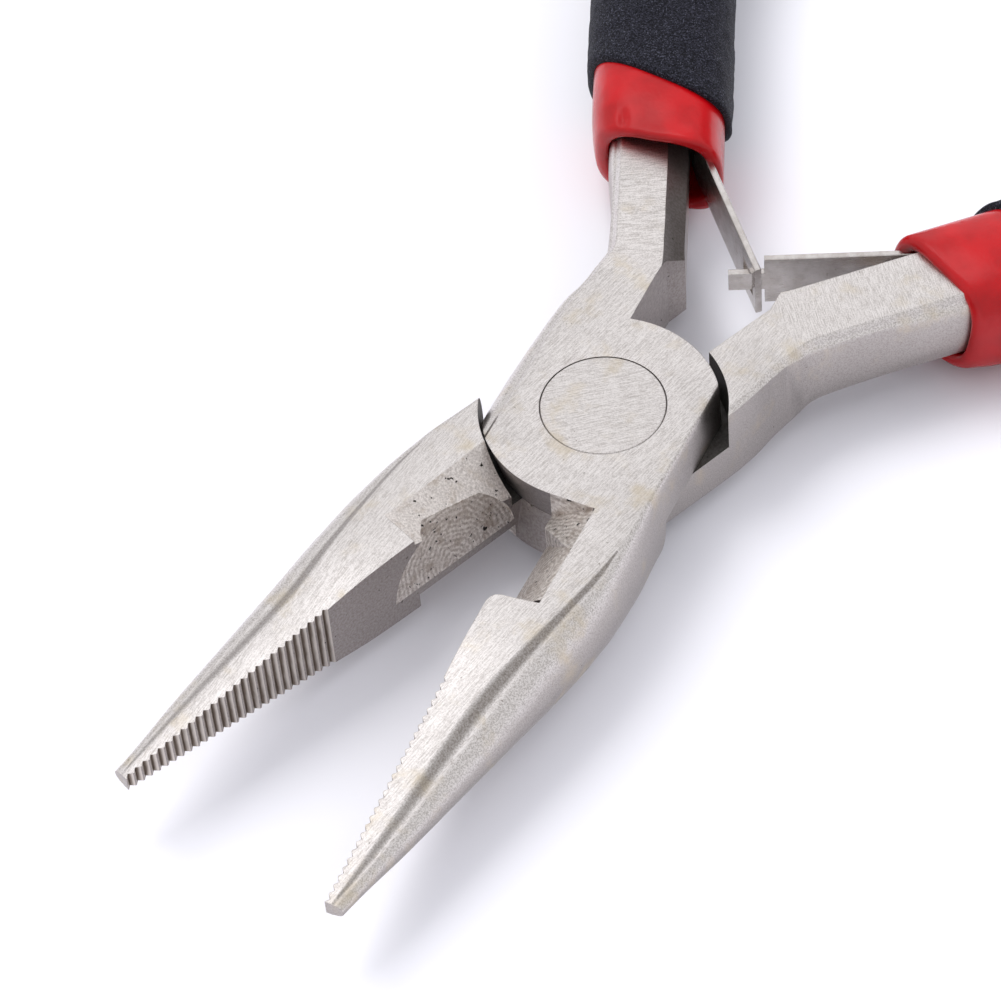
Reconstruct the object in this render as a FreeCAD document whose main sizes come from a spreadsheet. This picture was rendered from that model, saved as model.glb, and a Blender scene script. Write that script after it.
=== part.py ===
"""Small chain-nose pliers with a side cutter, a lap joint, a double leaf return spring and slip-on grips.

Frame: the origin is on the pivot axis at the joint's lower face, +Z is the pivot axis, and the jaws
point to -Y.  The model stands at its open stop, with both jaws turned away from the YZ plane by the
same angle.  Each half is drawn in its own closed frame: its gripping face is the plane x = 0 and its
jaw is on the +X side.  The lower half is the same forging turned over about Y.
"""
import FreeCAD, Part
import math
import os

import Sketcher

Vector = FreeCAD.Vector
Rotation = FreeCAD.Rotation

doc = FreeCAD.newDocument("ChainNosePliers")
sheet = doc.addObject("Spreadsheet::Sheet", "Sizes")

# ---------------------------------------------------------------- driving dimensions (mm, degrees)
# A name ending in _margin or _reach is how far a cut runs past the metal, so that it opens cleanly.
DIMENSIONS = {
    # joint
    "thickness": 7.2,
    "half_open_angle": 11.35,
    "rivet_radius": 4.5,
    "rivet_play": 0.03,
    "rivet_edge": 0.15,
    "lap_play": 0.02,
    "cut_margin": 1.0,
    "plate_front": 8.7,
    "plate_front_corner": 2.5,
    "undercut": 0.85,
    "undercut_margin": 0.05,
    "undercut_end": 5.0,
    "plate_radius": 8.75,
    "plate_back_radius": 8.3,
    "plate_free_side": 8.2,
    "plate_free_side_end": 7.0,
    "plate_jaw_side": 7.0,
    "plate_jaw_side_front": 6.5,
    "plate_bevel_start": 8.25,
    "plate_bevel_width": 1.8,
    "plate_bevel_depth": 2.9,
    "shoulder_radius": 8.86,
    # cutter
    "notch_width": 3.45,
    "notch_front": 17.7,
    "lobe_width": 1.2,
    "lobe_start": 0.3,
    "lobe_end": 1.2,
    "lobe_radius": 1.1,
    "lobe_overlap": 0.5,
    "notch_slope_drop": 2.5,
    "cutter_face_width": 2.95,
    "cutter_face_top": 0.36,
    "cutter_depth": 4.6,
    "cutter_back_outer": 12.35,
    "cutter_back_inner": 9.9,
    "relief_height": 1.3,
    "relief_width": 3.2,
    "relief_end_gap": 0.2,
    "recess_front": 17.6,
    "recess_front_outer": 3.03,
    "recess_front_depth": 0.4,
    "recess_back": 7.0,
    "recess_back_outer": 3.45,
    "recess_back_depth": 3.2,
    "crescent_radius": 5.5,
    "crescent_centre": 14.3,
    "crescent_edge_depth": 5.2,
    "crescent_tilt": 73.6,
    "crescent_sink": 0.4,
    "crescent_reach": 8.0,
    # gripping face
    "jaw_length": 43.4,
    "tooth_start": 25.4,
    "tooth_pitch": 0.667,
    "tooth_depth": 0.26,
    "tooth_lead": 0.1,
    "tooth_count": 27,
    # handle
    "splay": 22.65,
    "bend_height": 14.7,
    "bend_inner": 1.7,
    "bow_start": 46.0,
    "bow_radius": 60.0,
    "tang_bow_angle": 37.0,
    "tang_inner": 5.2,
    # grips, drawn in the handle's own frame
    "grip_offset": 2.85,
    "sleeve_mouth": 26.2,
    "sleeve_width": 10.1,
    "sleeve_height": 9.5,
    "sleeve_corner": 3.2,
    "sleeve_bow_angle": 41.0,
    "sleeve_end_round": 2.8,
    "sleeve_play": 0.02,
    "hollow_extra_angle": 0.3,
    "pocket_inner": 7.2,
    "pocket_end": 43.0,
    "cover_wall": 0.5,
    "cover_bow_angle": 42.2,
    "cover_end_round": 3.2,
    "cover_front_outer": 35.9,
    "cover_front_inner": 27.6,
    "cover_front_half_width": 6.5,
    # leaf springs, drawn in the handle's own frame
    "leaf_thickness": 0.5,
    "leaf_height": 4.6,
    "leaf_gap": 0.06,
    "leaf_tail": 42.0,
    "leaf_bend": 29.0,
    "leaf_bend_radius": 12.0,
    "leaf_meet_along": 15.55,
    "leaf_meet_across": 10.16,
    "slot_overhang": 1.6,
    "tongue_overhang": 2.15,
    "slot_before": 0.99,
    "slot_behind": 1.21,
    "slot_height": 2.1,
    "tongue_height": 1.7,
    "tongue_shoulder": 0.5,
    "blade_reach": 2.0,
    "spring_rivet_along": 36.5,
    "spring_rivet_radius": 1.1,
    "spring_rivet_play": 0.06,
    "spring_rivet_tang_play": 0.02,
    "spring_rivet_drill": 10.0,
    "spring_rivet_end_gap": 0.4,
    "spring_rivet_head_radius": 1.8,
    "spring_rivet_head": 0.8,
    "spring_rivet_edge_height": 0.3,
    "spring_rivet_edge_width": 0.4,
}

# Stations of the jaw, from the joint to the tip.  Each has its distance from the pivot, half its
# thickness, the width of its flat face, the crease beside the face, and its full width.
JAW_STATIONS = {
    "root": {"along": 4.5, "half": 3.6, "flat": 6.6, "crease": 6.72, "crease_half": 3.1, "full": 7.1},
    "heel": {"along": 11.5, "half": 3.6, "flat": 6.3, "crease": 6.55, "crease_half": 2.75, "full": 7.55},
    "notch": {"along": 17.5, "half": 3.6, "flat": 5.1, "crease": 5.55, "crease_half": 2.6, "full": 7.3},
    "belly": {"along": 23.2, "half": 3.4, "flat": 3.6, "crease": 4.2, "crease_half": 2.35, "full": 6.1},
    "middle": {"along": 30.2, "half": 2.45, "flat": 1.75, "crease": 2.5, "crease_half": 1.75, "full": 4.5},
    "slim": {"along": 36.5, "half": 1.6, "flat": 0.95, "crease": 1.55, "crease_half": 1.2, "full": 3.05},
    "tip": {"along": 43.4, "half": 0.68, "flat": 0.45, "crease": 0.75, "crease_half": 0.55, "full": 1.45},
}

# Stations of the neck, measured along Y, and of the tang, measured along the splayed handle.
# Widths are distances across the handle: on the neck from the pivot line towards the outside,
# on the tang from the handle's own base line towards the inside.
NECK_STATIONS = {
    "low": {"along": 4.0, "inner": -1.6, "outer": -8.1,
            "flat_in": -1.65, "flat_out": -6.3, "crease": -6.7},
    "seat": {"along": 8.4, "inner": -1.6, "outer": -7.6,
             "flat_in": -1.65, "flat_out": -5.9, "crease": -6.25},
    "waist": {"along": 11.4, "inner": -1.65, "outer": -7.15,
              "flat_in": -1.7, "flat_out": -4.8, "crease": -5.4},
}
BEND_SECTION = {"inner": 0.0, "outer": -5.75, "flat_in": -0.1, "flat_out": -4.1, "crease": -4.5}
TANG_STATIONS = {
    "first": {"along": 17.5, "inner": 5.1, "outer": -0.8, "flat_in": 4.2, "flat_out": 0.15, "crease": -0.1},
    "mouth": {"along": 25.0, "inner": 5.2, "outer": -0.8, "flat_in": 4.1, "flat_out": 0.3, "crease": -0.05},
}
HANDLE_HALF = {"half": 3.6, "bevel_half": 2.4, "crease_half": 2.6}


def fill_sheet():
    """Write every driving dimension into the sheet as a named cell."""
    cells = dict(DIMENSIONS)
    for prefix, stations in (("jaw", JAW_STATIONS), ("neck", NECK_STATIONS), ("tang", TANG_STATIONS)):
        for station, sizes in stations.items():
            for key, value in sizes.items():
                cells["%s_%s_%s" % (prefix, station, key)] = value
    for key, value in BEND_SECTION.items():
        cells["bend_section_" + key] = value
    for key, value in HANDLE_HALF.items():
        cells["handle_" + key] = value
    for row, (alias, value) in enumerate(cells.items(), start=1):
        sheet.set("A%d" % row, alias)
        sheet.set("B%d" % row, str(value))
        sheet.setAlias("B%d" % row, alias)
    doc.recompute()


fill_sheet()


def value(expression):
    """The number that a sheet expression gives."""
    result = sheet.evalExpression(expression)
    return float(getattr(result, "Value", result))


# ---------------------------------------------------------------- sketch helpers
def plane(body, role):
    """One of the body's own origin planes."""
    for feature in body.Origin.OriginFeatures:
        if feature.Role == role:
            return feature
    raise ValueError("no plane " + role)


def new_sketch(body, name, role, base=("0", "0", "0"), turn=None):
    """A sketch on an origin plane, moved by sheet expressions and turned about one local axis."""
    sketch = body.newObject("Sketcher::SketchObject", name)
    sketch.AttachmentSupport = [(plane(body, role), "")]
    sketch.MapMode = "FlatFace"
    if turn:
        axis, angle = turn
        sketch.AttachmentOffset = FreeCAD.Placement(Vector(0, 0, 0), Rotation(axis, 1.0))
        sketch.setExpression("AttachmentOffset.Rotation.Angle", angle)
    for letter, expression in zip("xyz", base):
        if expression != "0":
            sketch.setExpression("AttachmentOffset.Base." + letter, expression)
    return sketch


def arc_between(start, end, radius, side):
    """A counter-clockwise arc of the given radius.  side +1 puts its centre left of start to end."""
    chord = end.sub(start)
    middle = start.add(end).multiply(0.5)
    height = math.sqrt(max(radius ** 2 - (chord.Length / 2) ** 2, 0.0))
    left = Vector(-chord.y, chord.x, 0).normalize()
    centre = middle.add(left.multiply(side * height))
    first, last = (start, end) if side > 0 else (end, start)
    angle_first = math.atan2(first.y - centre.y, first.x - centre.x)
    angle_last = math.atan2(last.y - centre.y, last.x - centre.x)
    circle = Part.Circle(centre, Vector(0, 0, 1), radius)
    return Part.ArcOfCircle(circle, angle_first, angle_last)


def draw(sketch, points, arcs=None, closed=True):
    """Draw an outline through points given as pairs of sheet expressions, every corner bound to them.

    arcs gives, for the segment that starts at that point, a radius expression and the centre's side.
    """
    arcs = arcs or {}
    places = [Vector(value(x), value(y), 0) for x, y in points]
    count = len(points)
    ends = []
    for index in range(count if closed else count - 1):
        start, end = places[index], places[(index + 1) % count]
        if index in arcs:
            radius, side = arcs[index]
            number = sketch.addGeometry(arc_between(start, end, value(radius), side), False)
            ends.append((number, 1, 2) if side > 0 else (number, 2, 1))
            bind(sketch, Sketcher.Constraint("Radius", number, value(radius)), radius)
        else:
            number = sketch.addGeometry(Part.LineSegment(start, end), False)
            ends.append((number, 1, 2))
    for index in range(count if closed else count - 2):
        here, after = ends[index], ends[(index + 1) % len(ends)]
        sketch.addConstraint(Sketcher.Constraint("Coincident", here[0], here[2], after[0], after[1]))
    for index, (x, y) in enumerate(points):
        if index < len(ends):
            number, vertex = ends[index][0], ends[index][1]
        else:
            number, vertex = ends[-1][0], ends[-1][2]
        place_vertex(sketch, number, vertex, x, y)
    return sketch


def place_vertex(sketch, number, vertex, x, y):
    """Tie one corner to the sketch axes by its two expressions."""
    for kind, axis, expression in (("DistanceX", -2, x), ("DistanceY", -1, y)):
        if expression == "0":
            sketch.addConstraint(Sketcher.Constraint("PointOnObject", number, vertex, axis))
        else:
            constraint = Sketcher.Constraint(kind, -1, 1, number, vertex, value(expression))
            bind(sketch, constraint, expression)


def bind(sketch, constraint, expression):
    """Add a constraint whose size comes from the sheet."""
    index = sketch.addConstraint(constraint)
    sketch.setExpression("Constraints[%d]" % index, expression)


def circle_sketch(sketch, x, y, radius):
    """Draw one circle from three sheet expressions."""
    centre = Vector(value(x), value(y), 0)
    number = sketch.addGeometry(Part.Circle(centre, Vector(0, 0, 1), value(radius)), False)
    bind(sketch, Sketcher.Constraint("Radius", number, value(radius)), radius)
    place_vertex(sketch, number, 3, x, y)
    return sketch


def s(name):
    """The expression of one sheet cell."""
    return "Sizes." + name


def pad(body, name, sketch, length):
    feature = body.newObject("PartDesign::Pad", name)
    feature.Profile = sketch
    feature.setExpression("Length", length)
    return feature


def pocket(body, name, sketch, length):
    """Cut from the sketch against its normal, and make sure that something was cut."""
    doc.recompute()
    before = body.Shape.Volume
    feature = body.newObject("PartDesign::Pocket", name)
    feature.Profile = sketch
    feature.setExpression("Length", length)
    doc.recompute()
    if not body.Shape.Volume < before:
        raise RuntimeError(name + " cut nothing")
    return feature


# ---------------------------------------------------------------- the forged halves
def jaw_section(body, station):
    """Cross-section of the jaw: flat gripping face, flat sides, a crease and a round back."""
    key = "jaw_%s_" % station
    sketch = new_sketch(body, "JawSection_" + station, "XZ_Plane",
                        ("0", s("thickness") + " / 2", s(key + "along")))
    flat, half = s(key + "flat"), s(key + "half")
    crease, crease_half = s(key + "crease"), s(key + "crease_half")
    points = [("0", "-" + half), (flat, "-" + half), (crease, "-" + crease_half),
              (crease, crease_half), (flat, half), ("0", half)]
    bulge = "(%s - %s)" % (s(key + "full"), crease)
    radius = "(%s ^ 2 + %s ^ 2) / (2 * %s)" % (crease_half, bulge, bulge)
    return draw(sketch, points, {2: (radius, 1)})


def handle_section(body, name, key, base, turn):
    """Cross-section of neck or tang: bevelled inside, flat sides, a crease and a round outside."""
    sketch = new_sketch(body, name, "XZ_Plane", base, turn)
    half, bevel_half, crease_half = s("handle_half"), s("handle_bevel_half"), s("handle_crease_half")
    inner, flat_in = s(key + "inner"), s(key + "flat_in")
    flat_out, crease = s(key + "flat_out"), s(key + "crease")
    points = [(inner, "-" + bevel_half), (inner, bevel_half), (flat_in, half), (flat_out, half),
              (crease, crease_half), (crease, "-" + crease_half), (flat_out, "-" + half),
              (flat_in, "-" + half)]
    bulge = "(%s - %s)" % (crease, s(key + "outer"))
    radius = "(%s ^ 2 + %s ^ 2) / (2 * %s)" % (crease_half, bulge, bulge)
    return draw(sketch, points, {4: (radius, 1)})


def loft(body, kind, name, sections, ruled=False):
    feature = body.newObject("PartDesign::" + kind, name)
    feature.Profile = sections[0]
    feature.Sections = sections[1:]
    feature.Ruled = ruled
    return feature


def cut_by_loft(body, name, sections):
    """Cut out the ruled solid between sections, and make sure that something was cut."""
    doc.recompute()
    before = body.Shape.Volume
    feature = loft(body, "SubtractiveLoft", name, sections, ruled=True)
    doc.recompute()
    if not body.Shape.Volume < before:
        raise RuntimeError(name + " cut nothing")
    return feature


def splayed(along, across="0"):
    """Placement expressions, for a sketch on the XZ plane, of a point on the splayed handle line."""
    turn = s("splay") + " * 1 deg"
    x = "-(%s) * sin(%s) + (%s) * cos(%s)" % (along, turn, across, turn)
    y = "(%s) * cos(%s) + (%s) * sin(%s)" % (along, turn, across, turn)
    return (x, s("thickness") + " / 2", "-(%s)" % y)


def handle_line(body, name, offset, start, bow_angle, turn=None):
    """A line along the handle at an offset from its base line: straight, then bowed inwards."""
    sketch = new_sketch(body, name, "XY_Plane", ("0", "0", s("thickness") + " / 2"), turn)
    bow, radius = s("bow_start"), s("bow_radius")
    angle = "(%s) * 1 deg" % bow_angle
    end = ("%s + (%s - %s) * (1 - cos(%s))" % (offset, radius, offset, angle),
           "%s + (%s - %s) * sin(%s)" % (bow, radius, offset, angle))
    return draw(sketch, [(offset, start), (offset, bow), end],
                {1: ("%s - %s" % (radius, offset), -1)}, closed=False)


def pipe(body, kind, name, section, line):
    feature = body.newObject("PartDesign::" + kind, name)
    feature.Profile = section
    feature.Spine = line
    return feature


def add_plate(body):
    """The lap plate: half the thickness, round at the back and towards the other jaw."""
    sketch = new_sketch(body, "PlateOutline", "XY_Plane", ("0", "0", s("thickness") + " / 2"))
    side_x, side_y = s("plate_free_side"), s("plate_free_side_end")
    front_y = "-sqrt(%s ^ 2 - %s ^ 2)" % (s("plate_radius"), side_x)
    corner = s("plate_front_corner")
    corner_y = "-sqrt(%s ^ 2 - %s ^ 2)" % (s("plate_radius"), corner)
    back_radius, jaw_x, neck_x = s("plate_back_radius"), s("plate_jaw_side"), s("bend_inner")
    points = [(jaw_x, "-" + s("plate_jaw_side_front")),
              (jaw_x, "sqrt(%s ^ 2 - %s ^ 2)" % (back_radius, jaw_x)),
              ("-" + neck_x, "sqrt(%s ^ 2 - %s ^ 2)" % (back_radius, neck_x)),
              ("-" + side_x, side_y),
              ("-" + side_x, front_y),
              ("-" + corner, corner_y),
              (s("notch_width"), "-" + s("plate_front"))]
    draw(sketch, points, {1: (back_radius, 1), 4: (s("plate_radius"), 1)})
    pad(body, "Plate", sketch, s("thickness") + " / 2")


def bevel_plate(body):
    """Bevel the plate's free side and undercut its front wall."""
    side = new_sketch(body, "FreeSideBevel", "XZ_Plane", ("0", "0", s("plate_bevel_start")))
    top, edge = s("thickness"), "-" + s("plate_free_side")
    bottom = "%s - %s" % (top, s("plate_bevel_depth"))
    inner = "%s + %s" % (edge, s("plate_bevel_width"))
    outside, above = "%s - %s" % (edge, s("cut_margin")), "%s + %s" % (top, s("cut_margin"))
    draw(side, [(outside, bottom), (edge, bottom), (inner, top), (inner, above), (outside, above)])
    pocket(body, "FreeSide", side, "2 * %s" % s("plate_radius"))
    front = new_sketch(body, "FrontUndercut", "YZ_Plane", ("0", "0", s("notch_width")))
    wall, lap = "-" + s("plate_front"), top + " / 2"
    ahead = "%s - %s" % (wall, s("undercut_margin"))
    draw(front, [(ahead, top), ("%s + %s" % (wall, s("undercut")), lap), (ahead, lap)])
    pocket(body, "FrontWall", front, "%s + %s" % (s("notch_width"), s("undercut_end")))


def cut_lap(body):
    """Clear the other half's plate: a round pocket below the lap plane, and the rivet hole."""
    lap = new_sketch(body, "LapCircle", "XY_Plane",
                     ("0", "0", "%s / 2 + %s" % (s("thickness"), s("lap_play"))))
    circle_sketch(lap, "0", "0", s("shoulder_radius"))
    pocket(body, "LapPocket", lap, s("thickness"))
    hole = new_sketch(body, "RivetCircle", "XY_Plane", ("0", "0", s("thickness")))
    circle_sketch(hole, "0", "0", "%s + %s" % (s("rivet_radius"), s("rivet_play")))
    pocket(body, "RivetHole", hole, s("thickness"))


def section_cut(body, name, points, front, length):
    """A straight cut along Y from the front of the notch, drawn across the jaw."""
    sketch = new_sketch(body, name + "Section", "XZ_Plane", ("0", "0", front))
    draw(sketch, points)
    pocket(body, name, sketch, length)


def cut_upper_notch(body):
    """The open side of the cutter: a sloping notch, a steeper cutting face and a round lobe."""
    top, width, front, margin = s("thickness"), s("notch_width"), s("notch_front"), s("cut_margin")
    above, outside = "%s + %s" % (top, margin), "-" + margin
    section_cut(body, "NotchSlope",
                [(width, top), (width, above), (outside, above),
                 (outside, "%s - %s * (1 + %s / %s)" % (top, s("notch_slope_drop"), margin, width))],
                front, "%s - %s" % (front, s("plate_front")))
    lobe = new_sketch(body, "LobeOutline", "XY_Plane", ("0", "0", top))
    lobe_end = "-%s - %s" % (front, s("lobe_end"))
    draw(lobe, [(width, "-" + front), (s("lobe_width"), "-%s - %s" % (front, s("lobe_start"))),
                ("0", lobe_end), (outside, lobe_end),
                (outside, "-%s + %s" % (front, s("lobe_overlap")))],
         {1: (s("lobe_radius"), -1)})
    pocket(body, "NotchLobe", lobe, s("cutter_depth"))
    face, drop, depth = s("cutter_face_width"), s("cutter_face_top"), s("cutter_depth")
    slant = "atan((%s - %s) / %s)" % (s("cutter_back_outer"), s("cutter_back_inner"), face)
    front_section = new_sketch(body, "CutterFaceFront", "XZ_Plane", ("0", "0", front))
    back_section = new_sketch(body, "CutterFaceBack", "XZ_Plane",
                              ("0", "0", s("cutter_back_inner")), (Vector(0, 1, 0), "-" + slant))
    for sketch, stretch in ((front_section, "1"), (back_section, "cos(%s)" % slant)):
        inner, outer = "%s / %s" % (face, stretch), "%s / %s" % (outside, stretch)
        bottom = "%s - %s" % (top, depth)
        draw(sketch, [(inner, "%s - %s" % (top, drop)), (inner, above), (outer, above),
                      (outer, bottom), ("0", bottom)])
    loft(body, "SubtractiveLoft", "CutterFace", [front_section, back_section], ruled=True)


def cut_lower_crescent(body):
    """The other side of the cutter: a recess that deepens towards the joint and a tilted mill cut."""
    outside = "-" + s("cut_margin")
    ends = []
    for end in ("front", "back"):
        outer, depth = s("recess_%s_outer" % end), s("recess_%s_depth" % end)
        section = new_sketch(body, "Recess_" + end, "XZ_Plane", ("0", "0", s("recess_" + end)))
        draw(section, [(outside, outside), (outer, outside), (outer, "0"),
                       (outside, "%s * (1 + %s / %s)" % (depth, s("cut_margin"), outer))])
        ends.append(section)
    cut_by_loft(body, "Recess", ends)
    tilt = s("crescent_tilt") + " * 1 deg"
    drop = s("crescent_sink")
    mill = new_sketch(body, "MillCircle", "XY_Plane",
                      ("-%s * cos(%s)" % (drop, tilt), "-" + s("crescent_centre"),
                       "%s + %s * sin(%s)" % (s("crescent_edge_depth"), drop, tilt)),
                      (Vector(0, 1, 0), s("crescent_tilt")))
    circle_sketch(mill, "0", "0", s("crescent_radius"))
    pocket(body, "Crescent", mill, s("crescent_reach"))


def cut_relief(body, flipped):
    """Relieve the blade from below, on whichever of the half's faces ends up underneath."""
    top, height, margin, width = s("thickness"), s("relief_height"), s("cut_margin"), s("relief_width")
    face, edge, beyond = "0", height, "-" + margin
    if flipped:
        face, edge, beyond = top, "%s - %s" % (top, height), "%s + %s" % (top, margin)
    section_cut(body, "Relief",
                [(width, beyond), (width, face), ("0", edge), ("-" + margin, edge), ("-" + margin, beyond)],
                s("notch_front"),
                "%s - %s - %s" % (s("notch_front"), s("plate_front"), s("relief_end_gap")))


def cut_teeth(body):
    """V grooves across the gripping face, repeated towards the tip."""
    sketch = new_sketch(body, "ToothOutline", "XY_Plane", ("0", "0", s("thickness")))
    start, pitch, lead = s("tooth_start"), s("tooth_pitch"), "-" + s("tooth_lead")
    draw(sketch, [(lead, "-" + start), (s("tooth_depth"), "-%s - %s / 2" % (start, pitch)),
                  (lead, "-%s - %s" % (start, pitch))])
    groove = pocket(body, "Tooth", sketch, s("thickness"))
    teeth = body.newObject("PartDesign::LinearPattern", "Teeth")
    teeth.Originals = [groove]
    teeth.Direction = (sketch, ["V_Axis"])
    teeth.Reversed = True
    teeth.setExpression("Occurrences", s("tooth_count"))
    teeth.setExpression("Length", "%s * (%s - 1)" % (pitch, s("tooth_count")))
    body.Tip = teeth


def drill_for_spring_rivet(body):
    """The hole through the tang for the leaf spring's rivet."""
    turn = s("splay") + " * 1 deg"
    along, reach = s("spring_rivet_along"), s("spring_rivet_drill")
    base = ("-%s * sin(%s) + %s * cos(%s)" % (along, turn, reach, turn),
            "%s * cos(%s) + %s * sin(%s)" % (along, turn, reach, turn),
            s("thickness") + " / 2")
    hole = body.newObject("Sketcher::SketchObject", "SpringRivetCircle")
    hole.AttachmentSupport = [(plane(body, "XY_Plane"), "")]
    hole.MapMode = "FlatFace"
    facing = Rotation(Vector(0, 0, 1), value(s("splay"))).multiply(Rotation(Vector(0, 1, 0), 90))
    hole.AttachmentOffset = FreeCAD.Placement(Vector(0, 0, 0), facing)
    for letter, expression in zip("xyz", base):
        hole.setExpression("AttachmentOffset.Base." + letter, expression)
    circle_sketch(hole, "0", "0", "%s + %s" % (s("spring_rivet_radius"), s("spring_rivet_tang_play")))
    pocket(body, "SpringRivetHole", hole, "2 * %s" % reach)


def build_half(label, flipped):
    """One forged half with its jaw, lap plate, neck and tang."""
    body = doc.addObject("PartDesign::Body", label)
    add_plate(body)
    doc.recompute()
    loft(body, "AdditiveLoft", "Jaw", [jaw_section(body, station) for station in JAW_STATIONS])
    doc.recompute()
    straight = [handle_section(body, "NeckSection_" + station, "neck_%s_" % station,
                               ("0", s("thickness") + " / 2", "-" + s("neck_%s_along" % station)), None)
                for station in NECK_STATIONS]
    bend_base = ("-" + s("bend_inner"), s("thickness") + " / 2", "-" + s("bend_height"))
    bend_turn = (Vector(0, 1, 0), s("splay") + " / 2")
    neck_end = handle_section(body, "NeckSection_bend", "bend_section_", bend_base, bend_turn)
    loft(body, "AdditiveLoft", "Neck", straight + [neck_end])
    doc.recompute()
    tang_start = handle_section(body, "TangSection_bend", "bend_section_", bend_base, bend_turn)
    tang = [handle_section(body, "TangSection_" + station, "tang_%s_" % station,
                           splayed(s("tang_%s_along" % station)), (Vector(0, 1, 0), s("splay")))
            for station in TANG_STATIONS]
    loft(body, "AdditiveLoft", "Tang", [tang_start] + tang)
    doc.recompute()
    mouth = s("tang_mouth_along")
    hidden = handle_section(body, "TangSection_hidden", "tang_mouth_", splayed(mouth),
                            (Vector(0, 1, 0), s("splay")))
    line = handle_line(body, "TangLine", "0", mouth, s("tang_bow_angle"),
                       (Vector(0, 0, 1), s("splay")))
    pipe(body, "AdditivePipe", "HiddenTang", hidden, line)
    doc.recompute()
    bevel_plate(body)
    cut_lap(body)
    if flipped:
        cut_lower_crescent(body)
    else:
        cut_upper_notch(body)
    cut_relief(body, flipped)
    drill_for_spring_rivet(body)
    cut_teeth(body)
    return body


# ---------------------------------------------------------------- the joint rivet
def build_rivet():
    """A plain rivet, filed flush with both faces, with a fine broken edge at each end."""
    body = doc.addObject("PartDesign::Body", "pivot_rivet")
    sketch = new_sketch(body, "RivetProfile", "XZ_Plane")
    radius, edge, top = s("rivet_radius"), s("rivet_edge"), s("thickness")
    draw(sketch, [("0", "0"), ("%s - %s" % (radius, edge), "0"), (radius, edge),
                  (radius, "%s - %s" % (top, edge)), ("%s - %s" % (radius, edge), top), ("0", top)])
    turned = body.newObject("PartDesign::Revolution", "RivetTurned")
    turned.Profile = sketch
    turned.ReferenceAxis = (sketch, ["V_Axis"])
    turned.Angle = 360.0
    return body


# ---------------------------------------------------------------- grips, in the handle's own frame
def rounded_section(body, name, start, width, height, corner):
    """A rounded rectangle across the grip at its front."""
    sketch = new_sketch(body, name, "XZ_Plane",
                        (s("grip_offset"), s("thickness") + " / 2", "-(%s)" % start))
    x, z = "(%s) / 2" % width, "(%s) / 2" % height
    inner_x, inner_z = "%s - %s" % (x, corner), "%s - %s" % (z, corner)
    points = [("-(%s)" % inner_x, "-" + z), (inner_x, "-" + z), (x, "-(%s)" % inner_z), (x, inner_z),
              (inner_x, z), ("-(%s)" % inner_x, z), ("-" + x, inner_z), ("-" + x, "-(%s)" % inner_z)]
    return draw(sketch, points, {index: (corner, 1) for index in (1, 3, 5, 7)})


def round_far_end(body, name, base, radius):
    """Round the closed end of a grip, which is the face that lies furthest along its bow."""
    doc.recompute()
    bow_direction = Vector(0.7, 1, 0)
    far = max(base.Shape.Faces, key=lambda face: face.CenterOfMass.dot(bow_direction))
    edges = ["Edge%d" % (index + 1) for index, edge in enumerate(base.Shape.Edges)
             if any(edge.isSame(other) for other in far.Edges)]
    fillet = body.newObject("PartDesign::Fillet", name)
    fillet.Base = (base, edges)
    fillet.setExpression("Radius", radius)
    return fillet


def build_sleeve_blank(label):
    """The soft sleeve before it is hollowed."""
    body = doc.addObject("PartDesign::Body", label)
    start = s("sleeve_mouth")
    section = rounded_section(body, label + "Section", start, s("sleeve_width"), s("sleeve_height"),
                              s("sleeve_corner"))
    line = handle_line(body, label + "Line", s("grip_offset"), start, s("sleeve_bow_angle"))
    solid = pipe(body, "AdditivePipe", label + "Pipe", section, line)
    round_far_end(body, label + "End", solid, s("sleeve_end_round"))
    doc.recompute()
    return body


def build_sleeve(label, handle_frame, blank):
    """The sleeve: its blank, less the room for the tang and the spring's tail."""
    hollow = doc.addObject("PartDesign::Body", label + "_hollow")
    play = s("sleeve_play")
    start = "%s - %s" % (s("sleeve_mouth"), s("cut_margin"))
    tang_line = handle_line(hollow, label + "HollowLine", s("grip_offset"), start,
                            "%s + %s" % (s("tang_bow_angle"), s("hollow_extra_angle")))
    section = new_sketch(hollow, label + "HollowSection", "XZ_Plane",
                         ("0", s("thickness") + " / 2", "-(%s)" % start))
    outer, inner = "%s - %s" % (s("tang_mouth_outer"), play), "%s + %s" % (s("tang_inner"), play)
    half = "%s / 2 + %s" % (s("thickness"), play)
    draw(section, [(outer, "-(%s)" % half), (inner, "-(%s)" % half), (inner, half), (outer, half)])
    pipe(hollow, "AdditivePipe", label + "HollowPipe", section, tang_line)
    doc.recompute()
    pocket_outline = new_sketch(hollow, label + "SpringRoom", "XY_Plane",
                                ("0", "0", "-(%s)" % play))
    floor = "%s - %s" % (s("tang_inner"), s("cut_margin"))
    draw(pocket_outline, [(floor, start), (s("pocket_inner"), start),
                          (s("pocket_inner"), s("pocket_end")), (floor, s("pocket_end"))])
    pad(hollow, label + "SpringRoomPad", pocket_outline, "%s + 2 * %s" % (s("thickness"), play))
    doc.recompute()
    sleeve = doc.addObject("Part::Cut", label)
    sleeve.Base = blank
    sleeve.Tool = hollow
    sleeve.Placement = handle_frame
    return sleeve


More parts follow.
